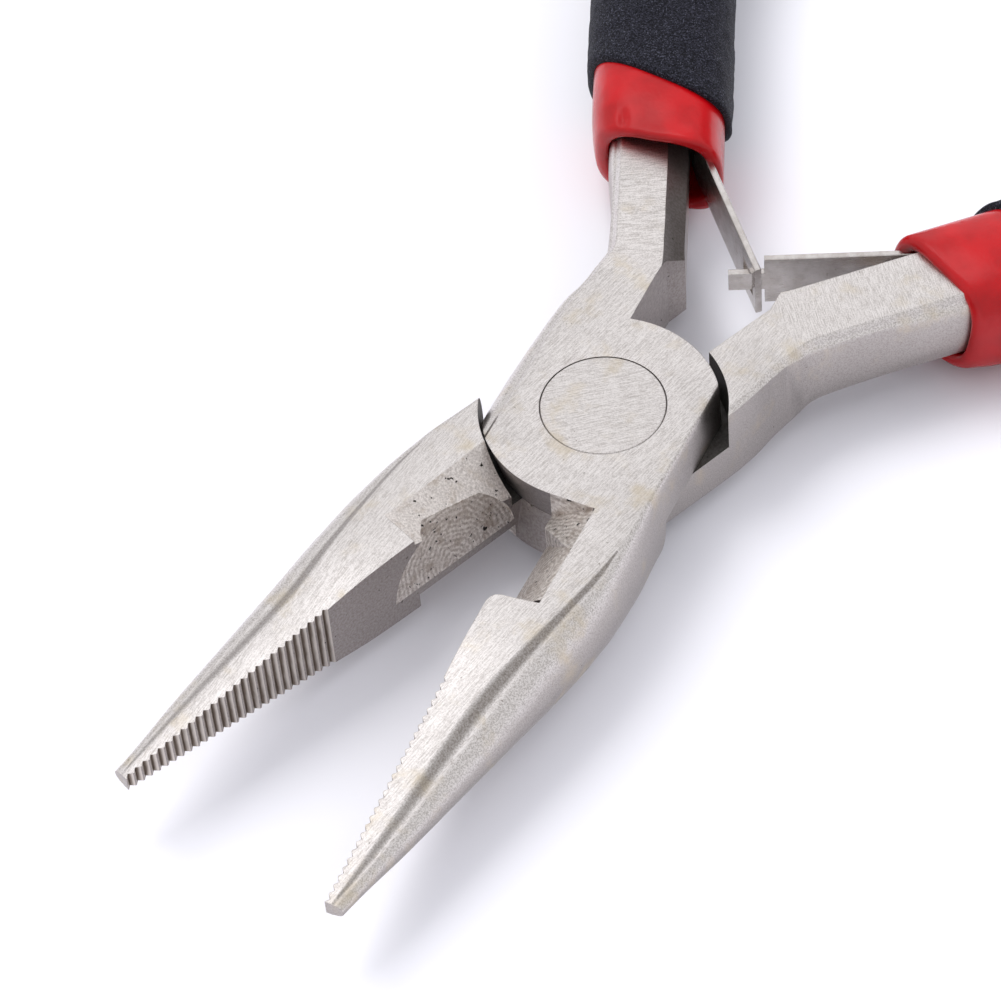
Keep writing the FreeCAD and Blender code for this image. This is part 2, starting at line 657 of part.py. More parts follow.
def build_cover(label, handle_frame, blank):
    """The outer cover: a thin closed-ended skin over the sleeve with a slanted front edge."""
    body = doc.addObject("PartDesign::Body", label + "_blank")
    start = "%s - %s" % (s("cover_front_inner"), s("cut_margin"))
    wall = s("cover_wall")
    section = rounded_section(body, label + "Section", start, "%s + 2 * %s" % (s("sleeve_width"), wall),
                              "%s + 2 * %s" % (s("sleeve_height"), wall),
                              "%s + %s" % (s("sleeve_corner"), wall))
    line = handle_line(body, label + "Line", s("grip_offset"), start, s("cover_bow_angle"))
    solid = pipe(body, "AdditivePipe", label + "Pipe", section, line)
    round_far_end(body, label + "End", solid, s("cover_end_round"))
    front = new_sketch(body, label + "Front", "XY_Plane",
                       ("0", "0", "%s / 2 + %s" % (s("thickness"), s("sleeve_height"))))
    left = "%s - %s" % (s("grip_offset"), s("cover_front_half_width"))
    right = "%s + %s" % (s("grip_offset"), s("cover_front_half_width"))
    ahead = "%s - %s" % (start, s("cut_margin"))
    draw(front, [(left, ahead), (right, ahead), (right, s("cover_front_inner")),
                 (left, s("cover_front_outer"))])
    pocket(body, label + "FrontCut", front, "2 * %s" % s("sleeve_height"))
    cover = doc.addObject("Part::Cut", label)
    cover.Base = body
    cover.Tool = blank
    cover.Placement = handle_frame
    return cover


# ---------------------------------------------------------------- leaf spring, handle's own frame
LEAF_TAIL_X = "(%s + %s + %s / 2)" % (s("tang_inner"), s("leaf_gap"), s("leaf_thickness"))
LEAF_LEAN = "atan((%s - %s) / (%s - %s))" % (s("leaf_meet_across"), LEAF_TAIL_X, s("leaf_bend"),
                                             s("leaf_meet_along"))


def leaf_line(body, name, overhang):
    """The leaf's centre line: flat on the tang, then bent inwards past where the two leaves meet."""
    sketch = new_sketch(body, name, "XY_Plane", ("0", "0", s("thickness") + " / 2"))
    bend, tangent = s("leaf_bend"), "%s * tan((%s) / 2)" % (s("leaf_bend_radius"), LEAF_LEAN)
    points = [(LEAF_TAIL_X, s("leaf_tail")),
              (LEAF_TAIL_X, "%s + %s" % (bend, tangent)),
              ("%s + %s * sin(%s)" % (LEAF_TAIL_X, tangent, LEAF_LEAN),
               "%s - %s * cos(%s)" % (bend, tangent, LEAF_LEAN)),
              ("%s + %s * sin(%s)" % (s("leaf_meet_across"), overhang, LEAF_LEAN),
               "%s - %s * cos(%s)" % (s("leaf_meet_along"), overhang, LEAF_LEAN))]
    return draw(sketch, points, {1: (s("leaf_bend_radius"), 1)}, closed=False)


def blade_sketch(body, name):
    """A sketch in the plane of the blade: x runs from the meeting point towards the tail, y is up."""
    sketch = body.newObject("Sketcher::SketchObject", name)
    sketch.AttachmentSupport = [(plane(body, "XY_Plane"), "")]
    sketch.MapMode = "FlatFace"
    facing = Rotation(Vector(0, 0, 1), 90 + value(LEAF_LEAN)).multiply(Rotation(Vector(1, 0, 0), 90))
    ahead = facing.multVec(Vector(0, 0, 1)).multiply(value(s("blade_reach")))
    meeting = Vector(value(s("leaf_meet_across")), value(s("leaf_meet_along")),
                     value(s("thickness")) / 2)
    sketch.AttachmentOffset = FreeCAD.Placement(meeting.add(ahead), facing)
    return sketch


def build_leaf(label, handle_frame, slotted):
    """One leaf: riveted flat to the tang, and hooked into the other leaf at its free end."""
    body = doc.addObject("PartDesign::Body", label)
    section = new_sketch(body, label + "Section", "XZ_Plane",
                         (LEAF_TAIL_X, s("thickness") + " / 2", "-" + s("leaf_tail")))
    x, z = s("leaf_thickness") + " / 2", s("leaf_height") + " / 2"
    draw(section, [("-" + x, "-" + z), (x, "-" + z), (x, z), ("-" + x, z)])
    overhang = s("slot_overhang") if slotted else s("tongue_overhang")
    pipe(body, "AdditivePipe", label + "Strip", section, leaf_line(body, label + "Line", overhang))
    doc.recompute()
    through, margin = "2 * %s" % s("blade_reach"), s("cut_margin")
    if slotted:
        window = blade_sketch(body, label + "Slot")
        near, far, height = "-" + s("slot_before"), s("slot_behind"), s("slot_height") + " / 2"
        draw(window, [(near, "-" + height), (far, "-" + height), (far, height), (near, height)])
        pocket(body, label + "SlotCut", window, through)
    else:
        free_end, shoulder = "-%s - %s" % (overhang, margin), s("tongue_shoulder")
        for side, sign in (("Above", ""), ("Below", "-")):
            near_edge = "%s%s / 2" % (sign, s("tongue_height"))
            far_edge = "%s(%s / 2 + %s)" % (sign, s("leaf_height"), margin)
            corner = blade_sketch(body, label + side)
            draw(corner, [(free_end, near_edge), (shoulder, near_edge),
                          (shoulder, far_edge), (free_end, far_edge)])
            pocket(body, label + side + "Cut", corner, through)
    hole = new_sketch(body, label + "RivetCircle", "YZ_Plane", ("0", "0", s("pocket_inner")))
    circle_sketch(hole, s("spring_rivet_along"), s("thickness") + " / 2",
                  "%s + %s" % (s("spring_rivet_radius"), s("spring_rivet_play")))
    pocket(body, label + "RivetHole", hole, "%s - %s + %s" % (s("pocket_inner"), s("tang_inner"), margin))
    body.Placement = handle_frame
    return body


def build_spring_rivet(label, handle_frame):
    """The small rivet that holds a leaf's tail against the tang."""
    body = doc.addObject("PartDesign::Body", label)
    sketch = new_sketch(body, label + "Profile", "XY_Plane", ("0", "0", s("thickness") + " / 2"))
    along, shank, head = s("spring_rivet_along"), s("spring_rivet_radius"), s("spring_rivet_head_radius")
    under = "%s + %s + 2 * %s" % (s("tang_inner"), s("leaf_thickness"), s("leaf_gap"))
    top = "%s + %s" % (under, s("spring_rivet_head"))
    end = "%s + %s" % (s("tang_mouth_outer"), s("spring_rivet_end_gap"))
    shank_side, head_side = "%s + %s" % (along, shank), "%s + %s" % (along, head)
    draw(sketch, [(end, along), (end, shank_side), (under, shank_side), (under, head_side),
                  ("%s - %s" % (top, s("spring_rivet_edge_height")), head_side),
                  (top, "%s - %s" % (head_side, s("spring_rivet_edge_width"))), (top, along)])
    turned = body.newObject("PartDesign::Revolution", label + "Turned")
    turned.Profile = sketch
    turned.ReferenceAxis = (sketch, ["Edge7"])
    turned.Angle = 360.0
    body.Placement = handle_frame
    return body


# ---------------------------------------------------------------- assembly at the open stop
def rest_frame(flipped, extra_turn):
    """Where a half's closed frame, or its handle's frame, stands when the pliers are open."""
    half_open = value(s("half_open_angle"))
    turn = FreeCAD.Placement(Vector(0, 0, 0), Rotation(Vector(0, 0, 1), half_open + extra_turn))
    if not flipped:
        return turn
    over = FreeCAD.Placement(Vector(0, 0, value(s("thickness"))), Rotation(Vector(0, 1, 0), 180))
    return over.multiply(turn)


def build_all():
    """Every piece of the pliers, by node name."""
    pieces = {"pivot_rivet": build_rivet()}
    for side, flipped in (("upper", False), ("lower", True)):
        half = build_half(side + "_half", flipped)
        half.Placement = rest_frame(flipped, 0.0)
        pieces[side + "_half"] = half
        frame = rest_frame(flipped, value(s("splay")))
        blank = build_sleeve_blank(side + "_sleeve_blank")
        pieces[side + "_sleeve"] = build_sleeve(side + "_sleeve", frame, blank)
        pieces[side + "_grip_cover"] = build_cover(side + "_grip_cover", frame, blank)
        leaf = side + "_leaf_spring"
        pieces[leaf] = build_leaf(leaf, frame, slotted=not flipped)
        pieces[side + "_spring_rivet"] = build_spring_rivet(side + "_spring_rivet", frame)
    return pieces


def check_and_export(pieces):
    """Recompute, refuse any failed object or bad shape, and write one file per piece."""
    doc.recompute()
    for thing in doc.Objects:
        if "Invalid" in thing.State or "Error" in thing.State:
            raise RuntimeError("%s failed: %s" % (thing.Label, thing.State))
    os.makedirs("parts", exist_ok=True)
    for node, piece in pieces.items():
        piece.Label = node
        shape = piece.Shape
        if shape.isNull() or not shape.isValid() or len(shape.Solids) != 1:
            raise RuntimeError("%s has no single valid solid" % node)
        shape.exportStep(os.path.join("parts", node + ".step"))
        box = shape.BoundBox
        print("%-20s volume %9.2f  x %7.2f %7.2f  y %7.2f %7.2f  z %6.2f %6.2f"
              % (node, shape.Volume, box.XMin, box.XMax, box.YMin, box.YMax, box.ZMin, box.ZMax))


check_and_export(build_all())
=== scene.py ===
"""Looks of the chain-nose pliers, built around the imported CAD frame.

Each piece is modelled in millimetres in its own frame and then placed.  A half's own frame is the one in
which its gripping face is the plane x = 0, its jaw points to -Y and is on the +X side, and its lap plate
is the upper one.  A handle's own frame is that frame turned so that +Y runs along the handle.
"""

import math

import bmesh
import bpy
from mathutils import Matrix, Vector, noise


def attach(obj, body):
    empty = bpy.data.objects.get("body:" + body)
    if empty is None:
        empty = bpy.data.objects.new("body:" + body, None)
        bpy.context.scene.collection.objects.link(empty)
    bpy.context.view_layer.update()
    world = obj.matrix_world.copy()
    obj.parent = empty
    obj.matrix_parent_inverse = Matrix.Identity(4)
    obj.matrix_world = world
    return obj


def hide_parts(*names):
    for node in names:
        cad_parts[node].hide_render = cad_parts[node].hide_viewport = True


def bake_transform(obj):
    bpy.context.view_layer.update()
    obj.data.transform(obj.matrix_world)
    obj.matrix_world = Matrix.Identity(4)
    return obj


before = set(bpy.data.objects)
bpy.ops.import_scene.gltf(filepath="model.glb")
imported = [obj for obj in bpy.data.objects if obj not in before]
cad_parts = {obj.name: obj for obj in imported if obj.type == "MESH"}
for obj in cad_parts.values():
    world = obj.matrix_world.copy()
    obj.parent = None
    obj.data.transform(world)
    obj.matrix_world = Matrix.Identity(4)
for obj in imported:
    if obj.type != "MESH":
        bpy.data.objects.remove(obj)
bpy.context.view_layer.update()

# ------------------------------------------------------------------ driving sizes, in millimetres
MM = 0.001
# Each half is turned this far from the closed pose, and its handle is splayed further from its jaw.
HALF_OPEN = math.radians(11.35)
SPLAY = math.radians(22.65)
TOP = 7.2
MIDDLE = TOP / 2
# Heights and places outside the forging, where cutters start and end so that no two faces lie in one plane.
BELOW = -1.0
ABOVE = TOP + 1.0
PAST_FACE = -1.0
PAST_TIP = -46.0
PAST_FREE_SIDE = -14

# Edges of the forgings and the rivet stay sharp above this angle, in degrees.
METAL_EDGE_ANGLE = 22

RIVET_RADIUS = 4.5
RIVET_EDGE = 0.08
HOLE_RADIUS = 4.53
PLATE_RADIUS = 8.75
PLATE_FOOT_RADIUS = 7.9
PLATE_BACK_RADIUS = 8.3
# The first and last angle of the plate's round front and back, in degrees.
PLATE_FRONT_ARC = (270, 198)
PLATE_BACK_ARC = (32, 101.2)
PLATE_ARC_STEPS = 36
SHOULDER_RADIUS = 8.86
LAP_PLAY = 0.02

# The cutter on the upper half: a sloping notch, then the cutting face, then a round lobe in front.
NOTCH_WIDTH = 3.45
NOTCH_SLOPE = 0.725
NOTCH_BACK = -8.75
NOTCH_FRONT = -17.7
CUTTING_FACE_TOP = (2.95, TOP - 0.36)
CUTTING_FACE_FOOT = TOP - 4.7
CUTTING_FACE_BACK = (-9.9, -12.35)
LOBE = ((NOTCH_WIDTH, NOTCH_FRONT + 0.3), (NOTCH_WIDTH, NOTCH_FRONT), (1.3, -18.0), (0.75, -18.05),
        (0.35, -18.2), (0.1, -18.55), (0.0, -18.9), (PAST_FACE, -18.9), (PAST_FACE, NOTCH_FRONT + 0.3))

# The cutter on the lower half.  Pairs are the recess's front and back values.
RECESS_FRONT = -17.6
RECESS_BACK = -7.0
RECESS_OUTER = (3.03, 3.45)
RECESS_DEPTH = (0.4, 3.2)
RECESS_STEPS = 16
RECESS_CLEAR = 0.1
MILL_RADIUS = 5.5
MILL_LENGTH = 8
MILL_CENTRE = (-14.3, 5.2)
MILL_TILT = math.radians(73.6)
MILL_DEPTH = 0.4

RELIEF_REACH = 3.2
RELIEF_RISE = 1.3
NECK_WALL = ((-1.62, 8.15), (-1.75, 14.65), (-0.9, 16.8))
PAST_NECK_WALL = ((12, 16.8), (12, 4.4))
# The lower half's upright free side, from the joint to where it runs out on the tang.
SIDE_WALL = ((-6.78, -6.0), (-6.78, 6.8), (-6.6, 8.7), (-6.33, 10.4), (-6.2, 11.9), (-6.3, 13.3),
             (-6.6, 14.6), (-7.1, 15.9), (-7.9, 17.4))
PAST_SIDE_WALL = ((-10, 17.4), (-10, -6.0))

TOOTH_START = -25.4
TOOTH_PITCH = 0.667
TOOTH_DEPTH = 0.26
TOOTH_COUNT = 27
TOOTH_LAND = 0.08

BOW_START = 46.0
BOW_RADIUS = 60.0


def rest_matrix(flipped, handle=False):
    """From a half's own frame, or its handle's own frame, in mm, to the row frame in metres."""
    turn = Matrix.Rotation(HALF_OPEN + (SPLAY if handle else 0.0), 4, "Z")
    if flipped:
        over = Matrix.Translation((0, 0, TOP)) @ Matrix.Rotation(math.pi, 4, "Y")
        turn = over @ turn
    return Matrix.Scale(MM, 4) @ turn


def side_name(flipped):
    return "lower" if flipped else "upper"


# ------------------------------------------------------------------ mesh helpers
def mesh_object(name, vertices, faces, material=None):
    """A new object with all its faces turned outwards."""
    mesh = bpy.data.meshes.new(name)
    mesh.from_pydata(vertices, [], faces)
    shape = bmesh.new()
    shape.from_mesh(mesh)
    bmesh.ops.recalc_face_normals(shape, faces=shape.faces)
    shape.to_mesh(mesh)
    shape.free()
    made = bpy.data.objects.new(name, mesh)
    bpy.context.scene.collection.objects.link(made)
    if material:
        mesh.materials.append(material)
    return made


def skin(name, rings, material=None):
    """A closed solid through rings of equally many points."""
    count = len(rings[0])
    vertices = [point for ring in rings for point in ring]
    faces = [tuple(reversed(range(count)))]
    for row in range(len(rings) - 1):
        low, high = row * count, (row + 1) * count
        for index in range(count):
            after = (index + 1) % count
            faces.append((low + index, low + after, high + after, high + index))
    last = (len(rings) - 1) * count
    faces.append(tuple(range(last, last + count)))
    return mesh_object(name, vertices, faces, material)


def prism(name, outline, low, high, material=None):
    """An outline in plan, given counter-clockwise, made into a solid between two heights."""
    return skin(name, [[(x, y, low) for x, y in outline], [(x, y, high) for x, y in outline]], material)


def bar(name, section, back, front, material=None):
    """A section across the jaw as (x, z), counter-clockwise seen from the tip, run along Y."""
    return skin(name, [[(x, front, z) for x, z in section], [(x, back, z) for x, z in section]], material)


def drum(name, radius, low, high, material=None, segments=180):
    """A round solid about the origin's Z axis."""
    outline = [(radius * math.cos(turn), radius * math.sin(turn))
               for turn in (2 * math.pi * index / segments for index in range(segments))]
    return prism(name, outline, low, high, material)


def arc(radius, start, end, steps):
    """Points of an arc about the origin, from one angle in degrees to another."""
    turns = (math.radians(start + (end - start) * index / steps) for index in range(steps + 1))
    return [(radius * math.cos(turn), radius * math.sin(turn)) for turn in turns]


def carve(target, cutter, operation="DIFFERENCE"):
    """Apply a boolean with the cutter and delete it.  New faces keep the cutter's material."""
    modifier = target.modifiers.new("Carve", "BOOLEAN")
    modifier.operation = operation
    modifier.solver = "EXACT"
    modifier.material_mode = "TRANSFER"
    modifier.object = cutter
    graph = bpy.context.evaluated_depsgraph_get()
    graph.update()
    carved = bpy.data.meshes.new_from_object(target.evaluated_get(graph))
    target.modifiers.clear()
    target.data = carved
    bpy.data.objects.remove(cutter)


def sharpen_between_materials(made):
    """Keep an edge sharp wherever two differently finished faces meet, however flat the edge is."""
    shape = bmesh.new()
    shape.from_mesh(made.data)
    for edge in shape.edges:
        finishes = {made.data.materials[face.material_index] for face in edge.link_faces}
        if len(finishes) > 1 and not finishes <= {FORGED, HOLLOW}:
            edge.smooth = False
    shape.to_mesh(made.data)
    shape.free()


def smooth_by_angle(made, degrees):
    """Shade smooth, but keep edges sharper than the angle."""
    mesh = made.data
    mesh.shade_smooth()
    mesh.set_sharp_from_angle(angle=math.radians(degrees))


def keep_own_coordinates(made):
    """Store each point's place in its own frame, in mm, for the materials to use."""
    attribute = made.data.attributes.new("own", "FLOAT_VECTOR", "POINT")
    attribute.data.foreach_set("vector", [axis for vertex in made.data.vertices for axis in vertex.co])


def place(made, matrix, body, node):
    """Put a finished piece in the row frame, on its body, in place of its CAD node."""
    keep_own_coordinates(made)
    made.data.transform(matrix)
    made.data.update()
    if body:
        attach(made, body)
    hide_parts(node)


# ------------------------------------------------------------------ smooth tracks through stations
def track(knots, values, at):
    """A cubic through the values that never overshoots them."""
    index = max(i for i in range(len(knots) - 1) if knots[i] <= at + 1e-9)
    steps = [knots[i + 1] - knots[i] for i in range(len(knots) - 1)]
    slopes = [(values[i + 1] - values[i]) / steps[i] for i in range(len(steps))]

    def tangent(i):
        if i == 0:
            return slopes[0]
        if i == len(slopes):
            return slopes[-1]
        before, after = slopes[i - 1], slopes[i]
        if before * after <= 0:
            return 0.0
        return 2 * before * after / (before + after)

    step = steps[index]
    t = (at - knots[index]) / step
    return ((1 + 2 * t) * (1 - t) ** 2 * values[index] + t * t * (3 - 2 * t) * values[index + 1]
            + t * (1 - t) ** 2 * step * tangent(index) - t * t * (1 - t) * step * tangent(index + 1))


def resample(stations, spacing):
    """Rows of numbers, one per station, made into closely spaced rows.  The first two are a place."""
    knots = [0.0]
    for before, after in zip(stations, stations[1:]):
        knots.append(knots[-1] + math.dist(before[:2], after[:2]))
    places = []
    for low, high in zip(knots, knots[1:]):
        count = max(1, round((high - low) / spacing))
        places += [low + (high - low) * index / count for index in range(count)]
    places.append(knots[-1])
    columns = list(zip(*stations))
    return [[track(knots, column, at) for column in columns] for at in places]


def handle_point(along, across):
    """A point of the straight handle, in the half's own frame."""
    return (across * math.cos(SPLAY) - along * math.sin(SPLAY),
            across * math.sin(SPLAY) + along * math.cos(SPLAY))


# ------------------------------------------------------------------ the forging
SIDE_STEPS = 7
ROUND_STEPS = 11

# Each station is its place x, y and turn in degrees, half the thickness, and then for the jaw side and for
# the free side: the flat's width, the drop and the width of the hollow beside it, and the full width.
# The last number is how far the top face is sunk, which thins the tang.
JAW_HOLLOW_COLUMN = 6
SUNK_COLUMN = 12
LEAST_HOLLOW = 0.2
JAW_BLANK = [
    (0, -43.4, 0, 0.62, 0.45, 0.07, 0.18, 1.35, 1, 0, 0.1, 1.5, 0),
    (0, -41.2, 0, 0.9, 0.75, 0.17, 0.45, 1.85, 1, 0, 0.1, 1.5, 0),
    (0, -37.3, 0, 1.4, 1.25, 0.3, 0.75, 2.9, 1, 0, 0.1, 1.5, 0),
    (0, -32.2, 0, 2.08, 1.8, 0.46, 1.05, 4.1, 1, 0, 0.1, 1.5, 0),
    (0, -26.6, 0, 2.82, 2.55, 0.56, 1.15, 5.4, 1, 0, 0.1, 1.5, 0),
    (0, -21.4, 0, 3.48, 3.9, 0.5, 0.9, 6.5, 1, 0, 0.1, 1.5, 0),
    (0, -17.3, 0, 3.6, 5.05, 0.36, 0.6, 7.25, 1, 0, 0.1, 1.5, 0),
    (0, -14.0, 0, 3.6, 5.85, 0.28, 0.49, 7.52, 1.5, 0, 0.1, 2.5, 0),
    (0, -11.5, 0, 3.6, 6.35, 0.09, 0.16, 7.5, 5.0, 0, 0.1, 6.5, 0),
    (0, -9.8, 0, 3.6, 6.55, 0.05, 0.08, 7.45, 6.3, 0.3, 0.35, 8.2, 0),
    (0, -6.0, 0, 3.6, 6.55, 0.02, 0.04, 7.15, 6.3, 0.3, 0.35, 8.2, 0),
    (0, 0.0, 0, 3.6, 6.6, 0.02, 0.04, 7.1, 6.3, 0.3, 0.35, 8.2, 0),
    (0, 5.0, 0, 3.6, 6.6, 0.02, 0.04, 7.1, 6.35, 0.2, 0.3, 7.9, 0),
    (0, 8.4, 0, 3.6, 6.0, 0.02, 0.04, 6.5, 6.2, 0.2, 0.3, 7.5, 0),
    (-1.0, 10.2, 0, 3.6, 2.5, 0.02, 0.04, 3.2, 4.9, 0.3, 0.35, 5.87, 0),
    (-1.65, 11.6, 2, 3.6, 1.0, 0.02, 0.05, 1.2, 4.15, 0.4, 0.4, 4.95, 0),
    (-1.68, 13.2, 8, 3.6, 1.05, 0.02, 0.05, 1.15, 4.12, 0.5, 0.45, 4.84, 0.1),
    (-1.7, 14.7, 15, 3.6, 1.05, 0.02, 0.05, 1.15, 4.18, 0.6, 0.5, 4.92, 0.3),
]
TANG_EDGE = 4.1
# How far along the handle, the full width, how far the top face is sunk, and the turn in degrees.
TANG_ROWS = ((16.6, 4.55, 0.6, 20.8), (20.0, 4.45, 0.85, 22.65), (26.0, 4.85, 1.0, 22.65),
             (36.0, 4.95, 1.0, 22.65), (46.0, 4.95, 1.0, 22.65))
# Where the bevel starts and ends across the tang, and how deep it is there; then, for the places before
# the straight tang, how far along they are and how far the top face is sunk.
TANG_BEVEL = (3.78, 5.2, 1.3)
TANG_BEVEL_LEAD_IN = ((11.0, 0.0), (14.3, 0.3))
TANG_END_ANGLE = 37.0


def tang_stations():
    """The straight tang and its bow, from the bend to the end."""
    def section(full, sink):
        return (3.6, 1.05, 0.02, 0.05, 1.15, 3.75, 0.7, 0.5, full, sink)

    rows = [(*handle_point(along, TANG_EDGE), turn, *section(full, sink))
            for along, full, sink, turn in TANG_ROWS]
    inner_radius = BOW_RADIUS - TANG_EDGE
    for turn in (TANG_END_ANGLE / 3, TANG_END_ANGLE * 2 / 3, TANG_END_ANGLE):
        angle = math.radians(turn)
        spot = handle_point(BOW_START + inner_radius * math.sin(angle),
                            BOW_RADIUS - inner_radius * math.cos(angle))
        rows.append((*spot, math.degrees(SPLAY) - turn, *section(*TANG_ROWS[-1][1:3])))
    return rows


def side_profile(half, flat, drop, hollow, full):
    """One side of a section from the flat's edge to mid-height: a hollow and then a round ridge."""
    points = [(flat, half)]
    for index in range(1, SIDE_STEPS + 1):
        t = index / SIDE_STEPS
        points.append((flat + hollow * t, half - drop * t * t * (3 - 2 * t)))
    start, height = flat + hollow, half - drop
    for index in range(1, ROUND_STEPS + 1):
        turn = math.pi / 2 * index / ROUND_STEPS
        points.append((start + (full - start) * math.sin(turn), height * math.cos(turn)))
    return points


def blank_ring(row):
    """A closed section of the forging at a resampled station."""
    x, y, turn, half = row[:4]
    jaw_side, free_side = side_profile(half, *row[4:8]), side_profile(half, *row[8:12])
    plan = math.radians(turn)
    right = jaw_side + [(across, -height) for across, height in reversed(jaw_side[:-1])]
    left = [(-across, height) for across, height in free_side]
    left += [(across, -height) for across, height in reversed(left[:-1])]
    ring = right + left[::-1]
    thinning = 1 - row[SUNK_COLUMN] / half
    return [(x + across * math.cos(plan), y + across * math.sin(plan),
             MIDDLE + (height * thinning if height > 0 else height)) for across, height in ring]


def forging(name):
    """The blank of a half, with the hollows along the jaw's outer side in their own material, which paints
    shade on their slopes.
    """
    rows = resample(JAW_BLANK + tang_stations(), 0.55)
    blank = skin(name, [blank_ring(row) for row in rows], FORGED)
    blank.data.materials.append(HOLLOW)
    side_points = 2 * (SIDE_STEPS + ROUND_STEPS) + 1
    for polygon in blank.data.polygons[1:-1]:
        row, segment = divmod(polygon.index - 1, 2 * side_points)
        place_on_side = segment % side_points
        from_flat = min(place_on_side, side_points - 2 - place_on_side)
        on_jaw_side = segment < side_points and rows[row][JAW_HOLLOW_COLUMN] > LEAST_HOLLOW
        if on_jaw_side and 0 <= from_flat < SIDE_STEPS:
            polygon.material_index = 1
    return blank


# ------------------------------------------------------------------ machining
def cut_front(half):
    """The gripping face and the front wall of the lap plate, which leans in towards the lap plane."""
    rings = []
    for height, radius in ((BELOW, PLATE_FOOT_RADIUS), (MIDDLE, PLATE_FOOT_RADIUS),
                           (TOP, PLATE_RADIUS), (ABOVE, PLATE_RADIUS)):
        outline = [(PAST_FREE_SIDE, PAST_TIP), (0, PAST_TIP),
                   *arc(radius, *PLATE_FRONT_ARC, PLATE_ARC_STEPS), (PAST_FREE_SIDE, radius * -0.3)]
        rings.append([(x, y, height) for x, y in outline])
    carve(half, skin("Front_Cutter", rings, GROUND))


def cut_back(half):
    """The round back of the lap plate and the neck's inner wall."""
    outline = [*arc(PLATE_BACK_RADIUS, *PLATE_BACK_ARC, PLATE_ARC_STEPS), *NECK_WALL, *PAST_NECK_WALL]
    carve(half, prism("Back_Cutter", outline[::-1], BELOW, ABOVE, GROUND))


def cut_tang_bevel(half):
    """A flat bevel along the tang's inner upper edge, which starts abruptly at the bend."""
    near, far, depth = TANG_BEVEL
    slope = depth / (far - near)
    rise = ABOVE - TOP
    rings = []
    for along, sink in [*TANG_BEVEL_LEAD_IN, *((row[0], row[2]) for row in TANG_ROWS)]:
        face = TOP - sink
        section = [(near - rise / slope, face + rise), (near, face),
                   (far + 1, face - slope * (far + 1 - near)), (far + 1, face + rise)]
        rings.append([(*handle_point(along, across), height) for across, height in section])
    # The bevel's face takes the darker copy of the ground steel, a painted shade.
    carve(half, skin("Bevel_Cutter", rings, SHADED_BEVEL))


def cut_lap(half):
    """The step under the lap plate, which clears the other half's plate, and the rivet's hole."""
    # The lap step's faces take a much darker copy of the worn steel: painted shade under the other half's
    # plate.
    carve(half, drum("Lap_Cutter", SHOULDER_RADIUS, BELOW, MIDDLE + LAP_PLAY, SHADED_LAP))
    carve(half, drum("Hole_Cutter", HOLE_RADIUS, BELOW, ABOVE, GROUND, segments=240))


def cut_teeth(half):
    """One comb of V grooves across the gripping face, on a spine that stands clear of the face."""
    spine_back, spine, root = -0.6, -0.12, -0.02
    outline = [(spine_back, TOOTH_START + 0.02), (spine, TOOTH_START + 0.02)]
    for index in range(TOOTH_COUNT):
        start = TOOTH_START - index * TOOTH_PITCH
        outline.append((root, start - TOOTH_LAND / 2))
        outline.append((TOOTH_DEPTH, start - TOOTH_PITCH / 2))
        outline.append((root, start - TOOTH_PITCH + TOOTH_LAND / 2))
    outline += [(spine, PAST_TIP), (spine_back, PAST_TIP)]
    carve(half, prism("Tooth_Cutter", outline[::-1], BELOW, ABOVE, TOOTHED))


def cut_upper_notch(half):
    """The open side of the cutter: a sloping notch, a steeper cutting face and a round lobe."""
    section = [(PAST_FACE, TOP - NOTCH_SLOPE * (NOTCH_WIDTH - PAST_FACE)), (NOTCH_WIDTH, TOP),
               (NOTCH_WIDTH, ABOVE), (PAST_FACE, ABOVE)]
    carve(half, bar("Slope_Cutter", section, NOTCH_BACK, NOTCH_FRONT, MILLED))

    top_x, top_z = CUTTING_FACE_TOP
    section = [(PAST_FACE, CUTTING_FACE_FOOT), (0, CUTTING_FACE_FOOT), (top_x, top_z), (top_x, ABOVE),
               (PAST_FACE, ABOVE)]
    foot_y, top_y = CUTTING_FACE_BACK
    front = [(x, NOTCH_FRONT, z) for x, z in section]
    back = [(x, foot_y + x / top_x * (top_y - foot_y), z) for x, z in section]
    carve(half, skin("Face_Cutter", [front, back], MILLED))
    carve(half, prism("Lobe_Cutter", LOBE[::-1], CUTTING_FACE_FOOT, ABOVE, GROUND))


def cut_lower_crescent(half):
    """The other side of the cutter: a recess that deepens towards the joint and a round mill cut."""
    rings = []
    for index in range(RECESS_STEPS + 1):
        share = index / RECESS_STEPS
        y = RECESS_FRONT + (RECESS_BACK - RECESS_FRONT) * share
        outer = RECESS_OUTER[0] + (RECESS_OUTER[1] - RECESS_OUTER[0]) * share
        depth = RECESS_DEPTH[0] + (RECESS_DEPTH[1] - RECESS_DEPTH[0]) * share
        run_out = outer * (1 + RECESS_CLEAR / depth)
        rings.append([(PAST_FACE, y, BELOW), (run_out, y, BELOW), (run_out, y, -RECESS_CLEAR),
                      (PAST_FACE, y, depth * (1 - PAST_FACE / outer))])
    carve(half, skin("Recess_Cutter", rings, WORN))

    mill = drum("Mill_Cutter", MILL_RADIUS, 0, MILL_LENGTH, MILLED)
    turn = Matrix.Rotation(MILL_TILT - math.pi, 4, "Y")
    spot = Matrix.Translation((-MILL_DEPTH * math.cos(MILL_TILT), MILL_CENTRE[0],
                               MILL_CENTRE[1] + MILL_DEPTH * math.sin(MILL_TILT)))
    mill.data.transform(spot @ turn)
    carve(half, mill)


def cut_lower_side(half):
    """The lower half is ground upright along its free side, from the joint to the neck."""
    carve(half, prism("Side_Cutter", [*SIDE_WALL, *PAST_SIDE_WALL], BELOW, ABOVE, FORGED))


